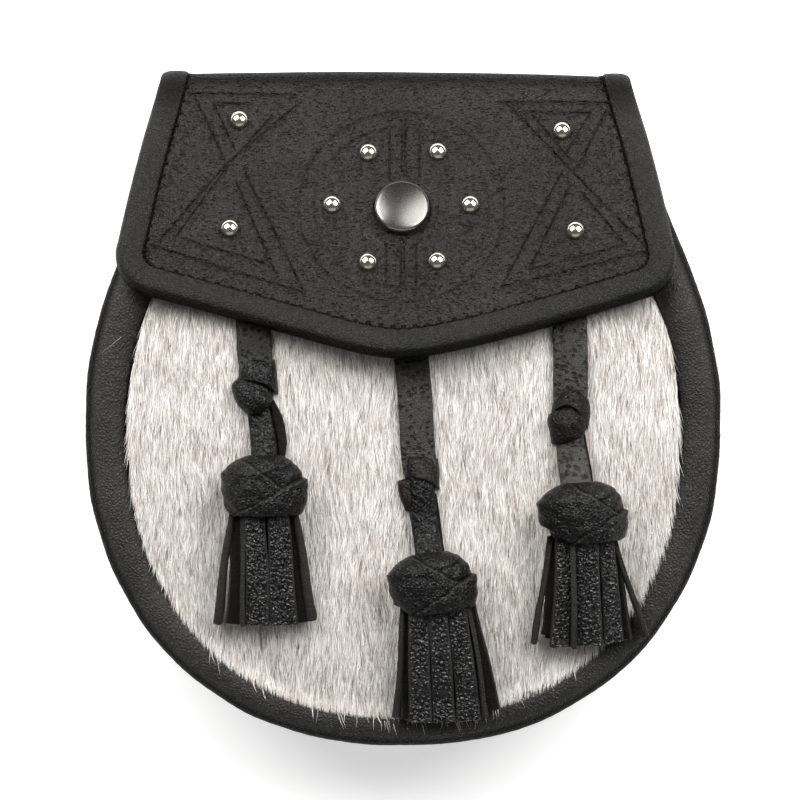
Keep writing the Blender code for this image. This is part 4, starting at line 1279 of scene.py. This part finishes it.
def hair_tones(dice, x, y):
    """Each hair's tone from its root to its tip: most are white, some are grey."""
    patch = 0.04 * waves(x, y, 30.0, 41) + 0.08 * waves(x, y / 7.0, 1.6, 42)
    base = WHITE + patch + dice.normal(0.0, 0.15, len(x))
    grey = dice.uniform(size=len(x)) < GREY_HAIRS + 0.09 * waves(x, y / 4.0, 3.0, 43)
    drop = np.where(grey, dice.uniform(0.25, 0.95, len(x)), dice.uniform(0.0, 0.10, len(x)))
    along = np.array([0.1, 0.1, 0.8, 0.8, 1.0])  # at the ribbon's five points
    return np.clip(base[:, None] - drop[:, None] * along, 0.0, 1.0)


print("hairs", HAIR_WIDTH, "mm wide, in locks of", LOCK, "mm")

# %% [markdown]
# The roots lie on a grid that is shaken up, which fills the hide more evenly than a free
# scatter. A hair that would reach past the coat's edge is turned back along it.

# %% The coat
HAIRS_PER_MM2 = 8.8
HAIR_LENGTH = (6.0, 10.5)
SHAKE = 0.6
UNDER_FLAP_EDGE = 7.0  # how far the coat goes on under the flap
FUR_PARTS = {"far_left": (-90, -40), "left": (-40, 0), "right": (0, 40), "far_right": (40, 90)}

dice = np.random.RandomState(77)
pitch = 1.0 / math.sqrt(HAIRS_PER_MM2)
grid_x, grid_y = np.meshgrid(np.arange(-84.0, 86.0, pitch), np.arange(-92.0, 50.0, pitch))
root_x = grid_x.ravel() + dice.uniform(-SHAKE, SHAKE, grid_x.size) * pitch
root_y = grid_y.ravel() + dice.uniform(-SHAKE, SHAKE, grid_x.size) * pitch
low_x, high_x = coat_limits(root_y)
keep = (root_x > low_x + 0.3) & (root_x < high_x - 0.3)
keep &= edge_distance(root_x, root_y) > -1.5
keep &= root_y < flap_lower_edge(root_x) + UNDER_FLAP_EDGE
root_x, root_y = root_x[keep], root_y[keep]
length = dice.uniform(*HAIR_LENGTH, len(root_x))
room = root_y - coat_bottom(root_x) + dice.normal(0.0, 0.3, len(root_x))
length = np.maximum(np.minimum(length, room), 2.0)
lean = 0.08 * waves(root_x, root_y, 24.0, 44) + 0.08 * waves(root_x, root_y, 6.0, 45)
lean += dice.normal(0.0, 0.06, len(root_x))
tip_x = root_x + np.sin(lean) * length
low_x, high_x = coat_limits(root_y - length)
lean -= (np.maximum(tip_x - high_x, 0.0) + np.minimum(tip_x - low_x, 0.0)) / length
lift = dice.uniform(-0.6, 0.22, len(root_x))
for name, (low, high) in FUR_PARTS.items():
    mine = (root_x >= low) & (root_x < high)
    x, y = root_x[mine], root_y[mine]
    strands = hairs(dice, x, y, length[mine], lean[mine], lift[mine])
    shape = Shape()
    shape.add(*strands, tone=hair_tones(dice, x, y).ravel())
    shape.piece(f"fur_{name}", [hair_coat], turn=False)
    print("fur", name, mine.sum(), "hairs,", 3 * mine.sum(), "triangles")

# %% [markdown]
# ## Straps, collars and loops
#
# The straps are cut from pigskin-grained leather, whose hair pores lie in small groups.
# Each ends in a collar, where the strap is turned over and shows its brown flesh side,
# and the tassel's own strap comes out of it in a rounded loop, with a second layer behind.

# %% Strap and tassel leathers
STRAP_PITS = dict(cell=1.6, stretch=1.0, slant=-0.8, widest=0.72, group=3.4, dark=1.0)
LOOP_PITS = dict(cell=0.8, stretch=1.5, slant=-0.8, widest=0.42, group=2.4, dark=0.9)

strap_leather = leather(
    "Black pigskin strap", "302f2a", "43413b", 0.7, 0.16, 0.38, STRAP_PITS, gap_shade=0.2
)
worn_strap = leather(
    "Black pigskin, worn brown at the fold",
    "120d0a", "1d1511", 1.0, 0.13, 0.3, LOOP_PITS, 0.4, sheen=0.24,
)  # fmt: skip
head_leather = leather(
    "Black woven strap, waxed",
    "040403", "0b0a08", 1.1, 0.15, 0.22, LOOP_PITS, 0.35, sheen=0.27, edge="48433c",
)  # fmt: skip
crinkled = leather(
    "Black crinkled glossy grain", "010101", "020202", 1.4, 0.36, 0.12, None, 0.3, 0.3, sheen=0.66
)
cut_edge = leather(
    "Cut leather edge, waxed black", "201e1b", "2e2c28", 0.8, 0.12, 0.6, crease=0.9, sheen=0.3
)
print("strap leathers:", strap_leather.name, head_leather.name, crinkled.name)

# %% [markdown]
# A strap is a flat bar swept down the fur. Its collar is draped: a small table gives the
# left and the right edge of a few rows, and how high each row stands, and a smooth curve
# joins them. That is quick to correct, one row at a time, against a picture.

# %% The straps' measures
# A row of a draped piece: x and y of its left and right edge, how far its middle stands
# above the line between them, how high its edges lie over the fur, and its crown.
COLLARS = {
    "left": [
        (-48.4, 14.2, -38.0, 14.4, 0.3, 0.9, 1.5), (-48.8, 11.2, -37.4, 10.2, 0.3, 0.9, 2.9),
        (-48.7, 9.0, -37.1, 6.6, 1.0, 0.9, 4.0), (-48.4, 7.4, -37.0, 4.0, 1.9, 1.0, 4.3),
    ],
    "middle": [
        (0.2, -14.9, 10.3, -15.0, 0.5, 0.9, 1.9), (-0.1, -17.0, 10.7, -17.8, 0.4, 0.9, 2.8),
        (0.2, -19.2, 10.8, -21.0, 0.8, 0.9, 3.6), (0.5, -21.3, 10.9, -24.2, 1.6, 1.0, 3.9),
    ],
    "right": [
        (46.2, 4.2, 53.6, 4.4, 1.2, 0.9, 1.5), (44.6, 1.8, 55.4, 1.2, 2.4, 0.9, 2.9),
        (44.1, -0.4, 55.4, -3.0, 3.4, 0.9, 3.9), (44.0, -2.2, 54.8, -6.4, 4.9, 1.0, 4.4),
    ],
}  # fmt: skip
# The ends of each strap, and how far down it painted shade from the flap darkens its face.
STRAPS = {
    "left": ((-45.0, 44.0), (-43.6, 8.0), 12.0),
    "middle": ((0.4, 46.0), (5.0, -19.0), 4.0),
    "right": ((49.5, 43.0), (49.6, 2.0), 24.0),
}
STRAP_WIDTH = 10.4
STRAP_LEATHER = 1.8
COLLAR_RIM = 0.22  # how pale a collar's cut edge is
UNDER_FLAP_SHADE = 0.45
UP = (0.0, 0.0, 1.0)
print(len(STRAPS), "straps,", STRAP_WIDTH, "mm wide")

# %% [markdown]
# The rows of a table become a surface: a smooth curve passes through each column, and the
# points between its two edges are laid on the fur below, raised by the row's crown.

# %% Draping
def curve_through(places, count):
    """A smooth curve that passes through every place in turn."""
    places = np.asarray(places, float)
    steps = np.linalg.norm(np.diff(places[:, :2], axis=0), axis=1)
    at = np.append(0.0, np.cumsum(np.maximum(steps, 0.1)))
    slope = np.gradient(places, at, axis=0)
    now = np.linspace(0.0, at[-1], count)
    low = np.clip(np.searchsorted(at, now, side="right") - 1, 0, len(at) - 2)
    wide = (at[low + 1] - at[low])[:, None]
    t = (now - at[low])[:, None] / wide
    start = places[low] * (1 + 2 * t) * (1 - t) ** 2 + slope[low] * wide * t * (1 - t) ** 2
    stop = places[low + 1] * t**2 * (3 - 2 * t) - slope[low + 1] * wide * t**2 * (1 - t)
    return start + stop


def laid(path, rise):
    """A path seen from the front, laid on the fur with its middle this far above it."""
    return np.column_stack([path, front_z(path[:, 0], path[:, 1]) + rise])


def drape(shape, rows, thick, kind, wrinkle, seed, spacing=0.35):
    """A soft piece draped over what lies below it, through the rows of a table."""
    rows = np.asarray(rows, float)
    length = np.hypot(*np.diff(0.5 * (rows[:, :2] + rows[:, 2:4]), axis=0).T).sum()
    row = curve_through(rows, max(10, int(length / spacing)))[:, :, None]
    lx, ly, rx, ry, sag, rise, crown = row.transpose(1, 0, 2)
    steps = max(9, int((rows[:, 2] - rows[:, 0]).mean() / spacing))
    u = np.linspace(-1.0, 1.0, steps)
    x = 0.5 * (lx + rx) + 0.5 * (rx - lx) * u
    y = 0.5 * (ly + ry) + 0.5 * (ry - ly) * u + sag * (1.0 - u**2)
    level = rise + crown * (1.0 - np.abs(u) ** 2.6) - 0.5 * thick * ramp(np.abs(u), 0.86, 0.14) ** 2
    level = level + wrinkle * waves(x + y, 0.35 * (x - y), 2.6, seed)
    from_end = np.minimum(np.arange(len(x)), np.arange(len(x))[::-1])[:, None]
    level = level - 0.4 * thick * ramp(from_end, 2.0, -2.0) ** 2
    floor = front_z(x, y)
    over = np.stack([x, y, floor + level], -1)
    under = np.stack([x, y, floor + np.maximum(0.1, level - thick)], -1)
    rim = ramp(np.abs(u), 0.90, 0.05) * (np.abs(u) < 0.99)
    rings = np.concatenate([over, under[:, ::-1]], 1)
    tube(shape, rings, kind=kind, cut=COLLAR_RIM * np.append(rim, 0.0 * rim))

# %% [markdown]
# Each strap is a bar down the fur with edges that waver a little, as hand-cut ones do. Its
# collar is draped over its end, and is a part of the same piece.

# %% Straps and their collars
STRAP_MATERIALS = [strap_leather, head_leather, worn_strap]

for number, (name, (top, end, shade_down_to)) in enumerate(STRAPS.items()):
    shape = Shape()
    path, along = resampled([top, end], 0.6)
    path[:, 0] += 0.12 * waves(along, 0.0, 18.0, 51 + number)
    path = laid(path, GAP + 0.5 * STRAP_LEATHER)
    width = STRAP_WIDTH + 0.15 * waves(along, 0.0, 9.0, 54 + number)
    rings = bar_rings(path, *directions(path, UP), width, STRAP_LEATHER, crown=0.2)
    # Painted shade: the strap's face is darkened towards and under the flap.
    tube(shape, rings, pressed=UNDER_FLAP_SHADE * ramp(rings[..., 1], shade_down_to, 5.0))
    drape(shape, COLLARS[name], 1.5, 1 if name == "left" else 2, 0.12, 57 + number)
    piece_name = f"strap_{name}_leather"
    shape.piece(piece_name, STRAP_MATERIALS, [f"strap_{name}"], sharp=55)
    print("strap", name, round(along[-1], 1), "mm")

# %% [markdown]
# The tassel's strap bulges as it leaves the collar, then runs flat to the head. To the
# left a lobe of the turned leather sticks out, and to the right its second layer shows.
# Each of these pieces is draped as the collars are, from the back one to the front one.

# %% The loops between strap and head
# Pieces of each loop from the back to the front: the number of its material, then its rows.
LOOP_MATERIALS = [head_leather, flesh_side, worn_strap, strap_leather]
KNOTS = {
    "left": [
        (1, [(-39.7, 2.4, -38.3, 2.4, 0, 1.2, 0), (-39.0, -2.0, -36.0, -2.0, 0, 1.4, 0.3),
             (-37.9, -7.6, -34.7, -7.6, 0, 1.6, 0.3), (-37.1, -13.1, -34.6, -12.4, 0, 3.0, 0.3),
             (-37.6, -17.3, -35.5, -17.3, 0, 5.0, 0.2)]),
        (0, [(-46.4, 0.6, -39.7, 0.8, 0, 2.2, 0.6), (-45.6, -5.7, -38.4, -3.9, 0, 2.5, 0.7),
             (-45.1, -11.3, -37.5, -9.4, 0, 4.5, 0.8), (-44.8, -18.3, -37.1, -18.5, 0, 9.0, 0.8)]),
        (0, [(-48.6, 9.2, -39.6, 9.4, 0.6, 1.2, 1.0), (-50.7, 7.0, -38.8, 6.4, 0.5, 1.6, 2.4),
             (-50.4, 4.2, -38.6, 3.2, 0, 1.9, 3.4), (-49.0, 0.9, -39.0, 0.9, -0.4, 1.9, 3.2),
             (-46.6, -1.6, -40.4, -0.6, -1.2, 1.5, 2.0)]),
    ],
    "middle": [
        (1, [(8.6, -25.0, 9.9, -25.3, 0, 1.4, 0), (9.0, -30.1, 10.7, -30.1, 0, 1.6, 0.2),
             (9.4, -37.2, 11.6, -37.2, 0, 2.6, 0.2), (10.7, -45.8, 12.6, -45.8, 0, 5.0, 0.2)]),
        (2, [(-1.7, -21.6, 3.4, -20.6, 0.2, 1.6, 1.0), (-1.3, -25.0, 3.4, -25.0, 0, 1.9, 1.2),
             (0.6, -30.4, 3.4, -31.3, 0, 1.6, 0.8)]),
        (0, [(1.0, -19.6, 9.2, -21.0, 0, 2.2, 1.6), (1.6, -24.6, 9.6, -25.6, 0, 2.4, 2.0),
             (1.8, -30.5, 10.2, -30.5, 0, 2.4, 1.5), (2.8, -37.2, 10.9, -37.2, 0, 4.0, 1.1),
             (3.9, -46.2, 12.1, -46.2, 0, 9.0, 1.0)]),
    ],
    "right": [
        (1, [(52.6, -7.6, 54.0, -7.6, 0, 1.4, 0), (53.2, -12.4, 54.8, -12.4, 0, 1.6, 0.2),
             (54.3, -17.9, 55.9, -18.3, 0, 3.4, 0.2), (54.9, -24.7, 56.4, -25.1, 0, 6.0, 0.2)]),
        (3, [(45.3, -8.0, 53.5, -7.0, 0, 2.0, 0.6), (45.6, -14.2, 54.2, -12.4, 0, 2.6, 0.7),
             (46.1, -19.1, 55.1, -17.9, 0, 5.0, 0.7), (46.8, -25.0, 56.1, -25.0, 0, 9.0, 0.7)]),
        (2, [(43.2, -1.9, 53.4, 0.6, 1.2, 1.8, 2.0), (42.8, -3.6, 54.2, -2.6, 0.6, 2.1, 3.1),
             (43.4, -7.0, 54.2, -6.0, 0, 2.1, 3.1), (44.0, -10.6, 53.8, -7.8, -0.9, 1.9, 2.0)]),
    ],
}  # fmt: skip

for number, (name, pieces) in enumerate(KNOTS.items()):
    shape = Shape()
    for index, (kind, rows) in enumerate(pieces):
        drape(shape, rows, 1.7, kind, 0.14, 61 + 7 * number + index)
    piece_name = f"knot_{name}_leather"
    obj = shape.piece(piece_name, LOOP_MATERIALS, [f"knot_{name}"], sharp=60)
    print("loop", name, len(obj.data.polygons), "faces")

# %% [markdown]
# ## Tassels
#
# A tassel's head is a flat strap woven round the bundle, so that it passes over and under
# itself like a plait with no end. It could be swept along its whole path, but pulled tight
# it shows only a few broad bands. So the head is a barrel of fine rings, and each band is
# a stretch between two lines that is raised over the one before, with a rim of cut leather
# along its edge and painted shade in the gutter beside it.

# %% Woven heads
HEADS = {
    "left": dict(at=(-41.0, -22.9), lean=0.0, width=25.4, shift=0.0),
    "middle": dict(at=(8.6, -51.6), lean=7.0, width=26.0, shift=2.0),
    "right": dict(at=(52.9, -30.9), lean=4.5, width=26.6, shift=4.5),
}
HEAD_DEPTH = 17.0
HEAD_LEVELS = [-8.9, -8.2, -5.2, -0.8, 3.8, 6.0, 7.6, 8.7, 9.0]
HEAD_SHARES = [0.72, 0.84, 0.95, 1.0, 1.0, 0.84, 0.64, 0.44, 0.34]
# Each visible band of the weave: a place on its edge, the way from the edge into the
# band, the band's width and how high it lies.
BANDS = [
    ((0.0, 3.5), (-0.354, 0.935), 7.5, 0.4),
    ((-5.2, 7.3), (-0.597, -0.802), 15.0, 0.8),
    ((11.7, 2.7), (0.504, -0.864), 13.0, 1.3),
]
BAND_CROWN = 0.5
BAND_SLOPE = 0.3  # a band rises to its full height over this width
BAND_RIM = 0.24
# the width of the painted shade beside each band
GUTTER = 0.7
INSIDE_WEAVE = 1.3  # the bundle lies this far inside the weave


def near(distance, width):
    """1 at a line, and down to 0 this far from it."""
    return np.clip(1.0 - np.abs(distance) / width, 0.0, 1.0)


def woven(x, y, shift):
    """The weave's height over the bundle, and how much each place is a cut edge or lies in the
    painted shade beside a band.
    """
    height, cut, gutter_shade = -0.25 * (np.hypot(x - 8, y - 3) / 9.0) ** 2, 0 * x, 0 * x
    for (at_x, at_y), (in_x, in_y), wide, level in BANDS:
        far = (x - at_x - shift) * in_x + (y - at_y) * in_y
        far = far + 0.18 * waves(x, y, 5.0, int(10 * level))
        on = ramp(far, 0.0, BAND_SLOPE) * ramp(far, wide, -BAND_SLOPE)
        crown = BAND_CROWN * (1.0 - np.clip(np.abs(2 * far / wide - 1.0), 0, 1) ** 2.2)
        height = np.where(on > 0, np.maximum(height, on * (level + crown)), height)
        cut = np.maximum(cut * (1 - on), near(far - BAND_SLOPE, BAND_RIM))
        beside = near(far + 0.5 * GUTTER, GUTTER)
        beside = np.maximum(beside, near(far - wide - 0.5 * GUTTER, GUTTER))
        gutter_shade = np.maximum(gutter_shade * (1 - on), beside)
    return height, 0.5 * cut, 0.8 * gutter_shade * (1.0 - cut)

# %% [markdown]
# The barrel is a stack of rings round the bundle. Each point is pushed out by the weave's
# height there, and tells the material where a cut edge lies and where painted shade falls in a
# gutter.

# %% A head's barrel
def barrel(shape, head):
    """The woven head: rings round the bundle, whose surface follows the bands."""
    y = np.linspace(HEAD_LEVELS[0], HEAD_LEVELS[-1], 60)[:, None]
    cosine, sine = circle(220)
    share = np.interp(y, HEAD_LEVELS, HEAD_SHARES)
    x = (0.5 * head["width"] - INSIDE_WEAVE) * share * cosine
    z = (0.5 * HEAD_DEPTH - INSIDE_WEAVE) * share * sine
    height, cut, gutter_shade = woven(x, y + 0 * x, head["shift"])
    height = height + 0.13 * waves(x, y + 0.8 * z, 4.4, 91) + 0.02 * waves(x, y + z, 1.3, 92)
    x, z = x + height * cosine, z + height * sine
    lean = math.radians(head["lean"])
    at_x, at_y = head["at"]
    place_x = at_x + x * math.cos(lean) - y * math.sin(lean)
    place_y = at_y + x * math.sin(lean) + y * math.cos(lean)
    middle_z = float(front_z(at_x, at_y)) + GAP + 0.5 * HEAD_DEPTH
    tube(shape, np.stack([place_x, place_y, middle_z + z], -1), cut=cut, pressed=gutter_shade)

# %% [markdown]
# The skirt is a strip of crinkled leather cut into tongues and rolled up, so some tongues
# show their glossy face, some their matt cut edge and some the flesh side. Each tongue is
# a bar with its own turn. Its face carries a real crinkle, which breaks the highlights,
# and its edges and back get the matt leathers.

# %% The strips of the skirts
TASSEL_MATERIALS = [head_leather, flesh_side, crinkled, cut_edge]
FLESH, FACE, EDGE = 1, 2, 3  # the sides that a strip can show, as numbers in this list
# Each strip, from the back to the front: how it is turned, x and y at its top and at its
# end, its width at both, and how high its middle starts and ends above the fur.
SKIRTS = {
    "left": [
        (FLESH, (-44.5, -29.5), (-47.0, -62.6), 7.0, 8.0, 5.6, 1.2),
        (FLESH, (-40.5, -29.5), (-40.0, -62.8), 7.5, 8.5, 5.6, 1.2),
        (FLESH, (-36.5, -29.5), (-32.5, -62.4), 7.0, 8.0, 5.6, 1.2),
        (FLESH, (-49.0, -29.5), (-50.3, -63.6), 3.2, 4.6, 8.8, 3.6),
        (FLESH, (-33.0, -29.5), (-29.0, -63.0), 3.2, 4.4, 8.8, 3.6),
        (EDGE, (-50.0, -29.6), (-54.9, -63.4), 2.2, 2.7, 8.2, 3.2),
        (EDGE, (-47.3, -29.5), (-47.2, -63.9), 1.4, 1.9, 10.8, 5.0),
        (FACE, (-43.9, -29.4), (-42.9, -63.9), 6.4, 7.2, 12.4, 5.8),
        (FACE, (-37.0, -29.4), (-35.1, -63.8), 6.4, 8.3, 12.4, 5.8),
        (EDGE, (-32.2, -29.6), (-26.9, -62.4), 2.3, 2.9, 8.6, 3.4),
    ],
    "middle": [
        (FLESH, (4.0, -57.2), (3.0, -91.0), 7.0, 8.0, 5.6, 1.2),
        (FLESH, (9.5, -57.2), (12.5, -91.4), 7.5, 8.5, 5.6, 1.2),
        (FLESH, (14.5, -57.2), (21.5, -90.4), 7.0, 8.0, 5.6, 1.2),
        (FLESH, (0.9, -57.4), (0.9, -92.0), 3.0, 4.0, 8.8, 3.6),
        (FLESH, (19.6, -56.6), (27.0, -89.4), 3.4, 4.4, 8.8, 3.6),
        (EDGE, (0.2, -57.8), (-1.9, -91.3), 1.9, 2.3, 8.6, 3.4),
        (FACE, (4.2, -57.0), (5.0, -92.8), 6.0, 7.0, 12.2, 5.8),
        (FACE, (10.0, -56.8), (12.4, -92.8), 5.6, 6.8, 12.8, 6.0),
        (FACE, (15.7, -56.6), (19.6, -92.4), 5.8, 7.2, 12.2, 5.8),
        (EDGE, (18.9, -57.0), (24.2, -91.4), 1.4, 1.9, 10.4, 4.8),
    ],
    "right": [
        (FLESH, (48.0, -37.5), (46.0, -68.4), 7.0, 8.0, 5.6, 1.2),
        (FLESH, (53.0, -37.5), (55.0, -69.0), 7.5, 8.5, 5.6, 1.2),
        (FLESH, (57.5, -37.5), (61.0, -68.0), 7.0, 8.0, 5.6, 1.2),
        (FLESH, (44.3, -37.6), (42.4, -66.8), 2.6, 3.4, 8.8, 3.6),
        (EDGE, (43.6, -38.0), (38.9, -69.2), 1.9, 2.2, 8.4, 3.2),
        (FACE, (47.2, -37.3), (46.4, -70.4), 4.8, 6.0, 11.2, 5.2),
        (EDGE, (50.0, -37.3), (50.2, -70.4), 1.1, 1.3, 11.8, 5.6),
        (FACE, (54.0, -37.2), (55.1, -70.1), 6.8, 8.0, 12.6, 6.0),
        (FACE, (59.8, -37.4), (62.6, -69.2), 4.6, 6.2, 11.2, 5.4),
        (FLESH, (61.8, -37.7), (66.4, -68.3), 2.2, 3.0, 8.6, 3.6),
        (EDGE, (62.2, -38.2), (71.9, -67.5), 1.5, 1.9, 8.0, 3.4),
    ],
}
print({name: len(rows) for name, rows in SKIRTS.items()}, "strips")

# %% [markdown]
# A strip is a bar along a line that bows and twists a little, no two alike. The crinkle is
# moved in its upper face, and fades out towards its edges.

# %% One strip
STRIP_LEATHER = 1.8
EDGE_DEPTH = 4.6
CRINKLE = 0.36


def crinkle(x, y, kind, seed):
    """Sharp creases and small bumps on a glossy face, and soft waves on the other ones."""
    if kind != FACE:
        return 0.3 * waves(x, y, 3.0, seed + 1)
    creases = np.abs(0.6 * waves(x, y, 1.9, seed + 1)) ** 0.7
    return 0.8 * creases + 0.4 * waves(x, y, 1.05, seed + 2)


def strip(shape, row, seed):
    """One cut strip: a bar whose broad face is crinkled when it shows its grain."""
    kind, top, low, narrow, wide, start_up, end_up = row
    dice = np.random.RandomState(seed)
    share = np.linspace(0.0, 1.0, 118 if kind == FACE else 40)
    bow = dice.uniform(-0.35, 0.35) * np.sin(math.pi * share)
    x = top[0] + (low[0] - top[0]) * share + bow + 0.15 * np.sin(7 * share + dice.uniform(0, 6))
    y = top[1] + (low[1] - top[1]) * share
    path = laid(np.column_stack([x, y]), start_up + (end_up - start_up) * share**1.3)
    angle = dice.uniform(-0.12, 0.12) + 0.25 * dice.uniform(-1, 1) * share
    lift = np.stack([np.sin(angle), 0 * angle, np.cos(angle)], 1)
    across, lift = directions(path, lift)
    width = narrow + (wide - narrow) * share + 0.1 * waves(30 * share, 0.0, 6.0, seed)
    deep = EDGE_DEPTH if kind == EDGE else STRIP_LEATHER
    steps = max(5, int(wide / (0.32 if kind == FACE else 0.8)))
    rings = bar_rings(path, across, lift, width, deep, edge=0.3, steps=steps)
    face = rings[:, :steps]
    fade = 1.0 - np.abs(np.linspace(-1.0, 1.0, steps)) ** 6
    relief = CRINKLE * fade * crinkle(face[..., 0], face[..., 1], kind, seed)
    face += lift[:, None] * relief[..., None]
    rows, columns = rings.shape[:2]
    sides = np.where(np.arange(columns) < steps - 1, kind, EDGE)
    hidden = ramp(share, 1.0 / 9.0, -1.0 / 9.0)  # the gathered tops lie in the dark
    kinds = [np.tile(sides, rows - 1), EDGE, EDGE]
    tube(shape, rings, kind=kinds, pressed=hidden[:, None])

# %% [markdown]
# Each tassel is its woven head and the strips of its skirt, in one piece.

# %% Tassels
for number, (name, head) in enumerate(HEADS.items()):
    shape = Shape()
    barrel(shape, head)
    for index, row in enumerate(SKIRTS[name]):
        strip(shape, row, 100 * number + 10 * index + 7)
    piece_name = f"tassel_{name}_leather"
    made = shape.piece(piece_name, TASSEL_MATERIALS, [f"tassel_{name}"], sharp=50)
    print("tassel", name, len(made.data.polygons), "faces")

# %% [markdown]
# ## Loose hairs
#
# A few long white hairs have slipped over the roll. They break the clean line between fur
# and leather, which is one of the things that makes a photograph look real.

# %% Loose hairs
# Between which x they lie, and how many: most are near the middle tassel.
LOOSE = [(1.0, 30.0, 26), (-32.0, -4.0, 12), (-62.0, 60.0, 22)]
# A long and a short one cross the roll on the left: x, y, length and lean.
CROSSING = [(-78.0, 26.0, 17.0, -0.85), (-78.6, 20.5, 7.0, -0.4)]

dice = np.random.RandomState(9)
x = np.concatenate([dice.uniform(low, high, count) for low, high, count in LOOSE])
length = dice.uniform(2.5, 7.0, len(x))
lean = dice.normal(0.14, 0.14, len(x))
shape = Shape()
low_hairs = hairs(dice, x, coat_bottom(x) + 1.5, length, lean, np.full(len(x), 0.3), 0.16)
shape.add(*low_hairs, tone=0.82)
x, y, length, lean = np.transpose(CROSSING)
shape.add(*hairs(dice, x, y, length, lean, np.full(len(x), 0.4), 0.14), tone=0.7)
shape.piece("loose_hairs", [hair_coat], turn=False)
print(sum(count for _, _, count in LOOSE) + len(CROSSING), "loose hairs")

# %% [markdown]
# ## Floor and light
#
# The pouch lies on a plain white table in a bright room: two soft boxes stand behind it to
# the left and right and draw the two highlights on each rivet, and a broad weak one in
# front fills the shadows.

# %% Floor
TABLE_GLOW = 0.5  # the acrylic is lit from below, which softens the shadows
TABLE_HALF = 3.0  # metres
TABLE_DROP = 0.0002  # metres, so that it doesn't touch the back

table_top, tree, place = new_material("White acrylic light table")
mottle = node(tree, "TexNoise", {"Vector": place, "Size": 40.0, "Detail": 3.0, "Roughness": CLOUD})
table_inputs = {
    "Base Color": node(tree, "Mix", {0: mottle, 6: srgb("f3f2f0"), 7: srgb("f6f6f5")}, **COLOURS),
    "Roughness": 0.7,
    "Emission Color": srgb("ffffff"),
    "Emission Strength": TABLE_GLOW,
}
feed(tree.nodes["Principled BSDF"], table_inputs)
mesh = bpy.data.meshes.new("table")
corners = [(x * TABLE_HALF, y * TABLE_HALF, 0) for x, y in ((-1, -1), (1, -1), (1, 1), (-1, 1))]
mesh.from_pydata(corners, [], [(0, 1, 2, 3)])
mesh.materials.append(table_top)
table = bpy.data.objects.new("table", mesh)
table.location.z = -TABLE_DROP
scene.collection.objects.link(table)
print("table", 2 * TABLE_HALF, "m wide")

# %% [markdown]
# Black leather shows its form by reflections alone, so the lamps are large. Their size sets
# how soft the shine is, and their place sets which side of each roll and fold catches it.

# %% Light
LAMPS = [
    # name, place in metres, width and height in metres, power in watts
    ("Window left", (-0.66, 0.84, 0.95), (1.05, 0.8), 22.0),
    ("Window right", (0.74, 0.70, 0.97), (0.95, 0.8), 22.0),
    ("Fill", (0.1, -1.5, 1.5), (3.0, 1.6), 5.0),
]
ROOM_LIGHT = 0.14

for name, place, (wide, high), power in LAMPS:
    data = bpy.data.lights.new(name, "AREA")
    data.shape, data.size, data.size_y, data.energy = "RECTANGLE", wide, high, power
    lamp = bpy.data.objects.new(name, data)
    lamp.location = place
    lamp.rotation_euler = (-Vector(place)).to_track_quat("-Z", "Y").to_euler()
    scene.collection.objects.link(lamp)

scene.world = bpy.data.worlds.new("Room")
scene.world.use_nodes = True
room = scene.world.node_tree.nodes["Background"]
feed(room, {"Color": srgb("f2f3f5"), "Strength": ROOM_LIGHT})
scene.view_settings.view_transform = "Standard"
print(len(LAMPS), "lamps")
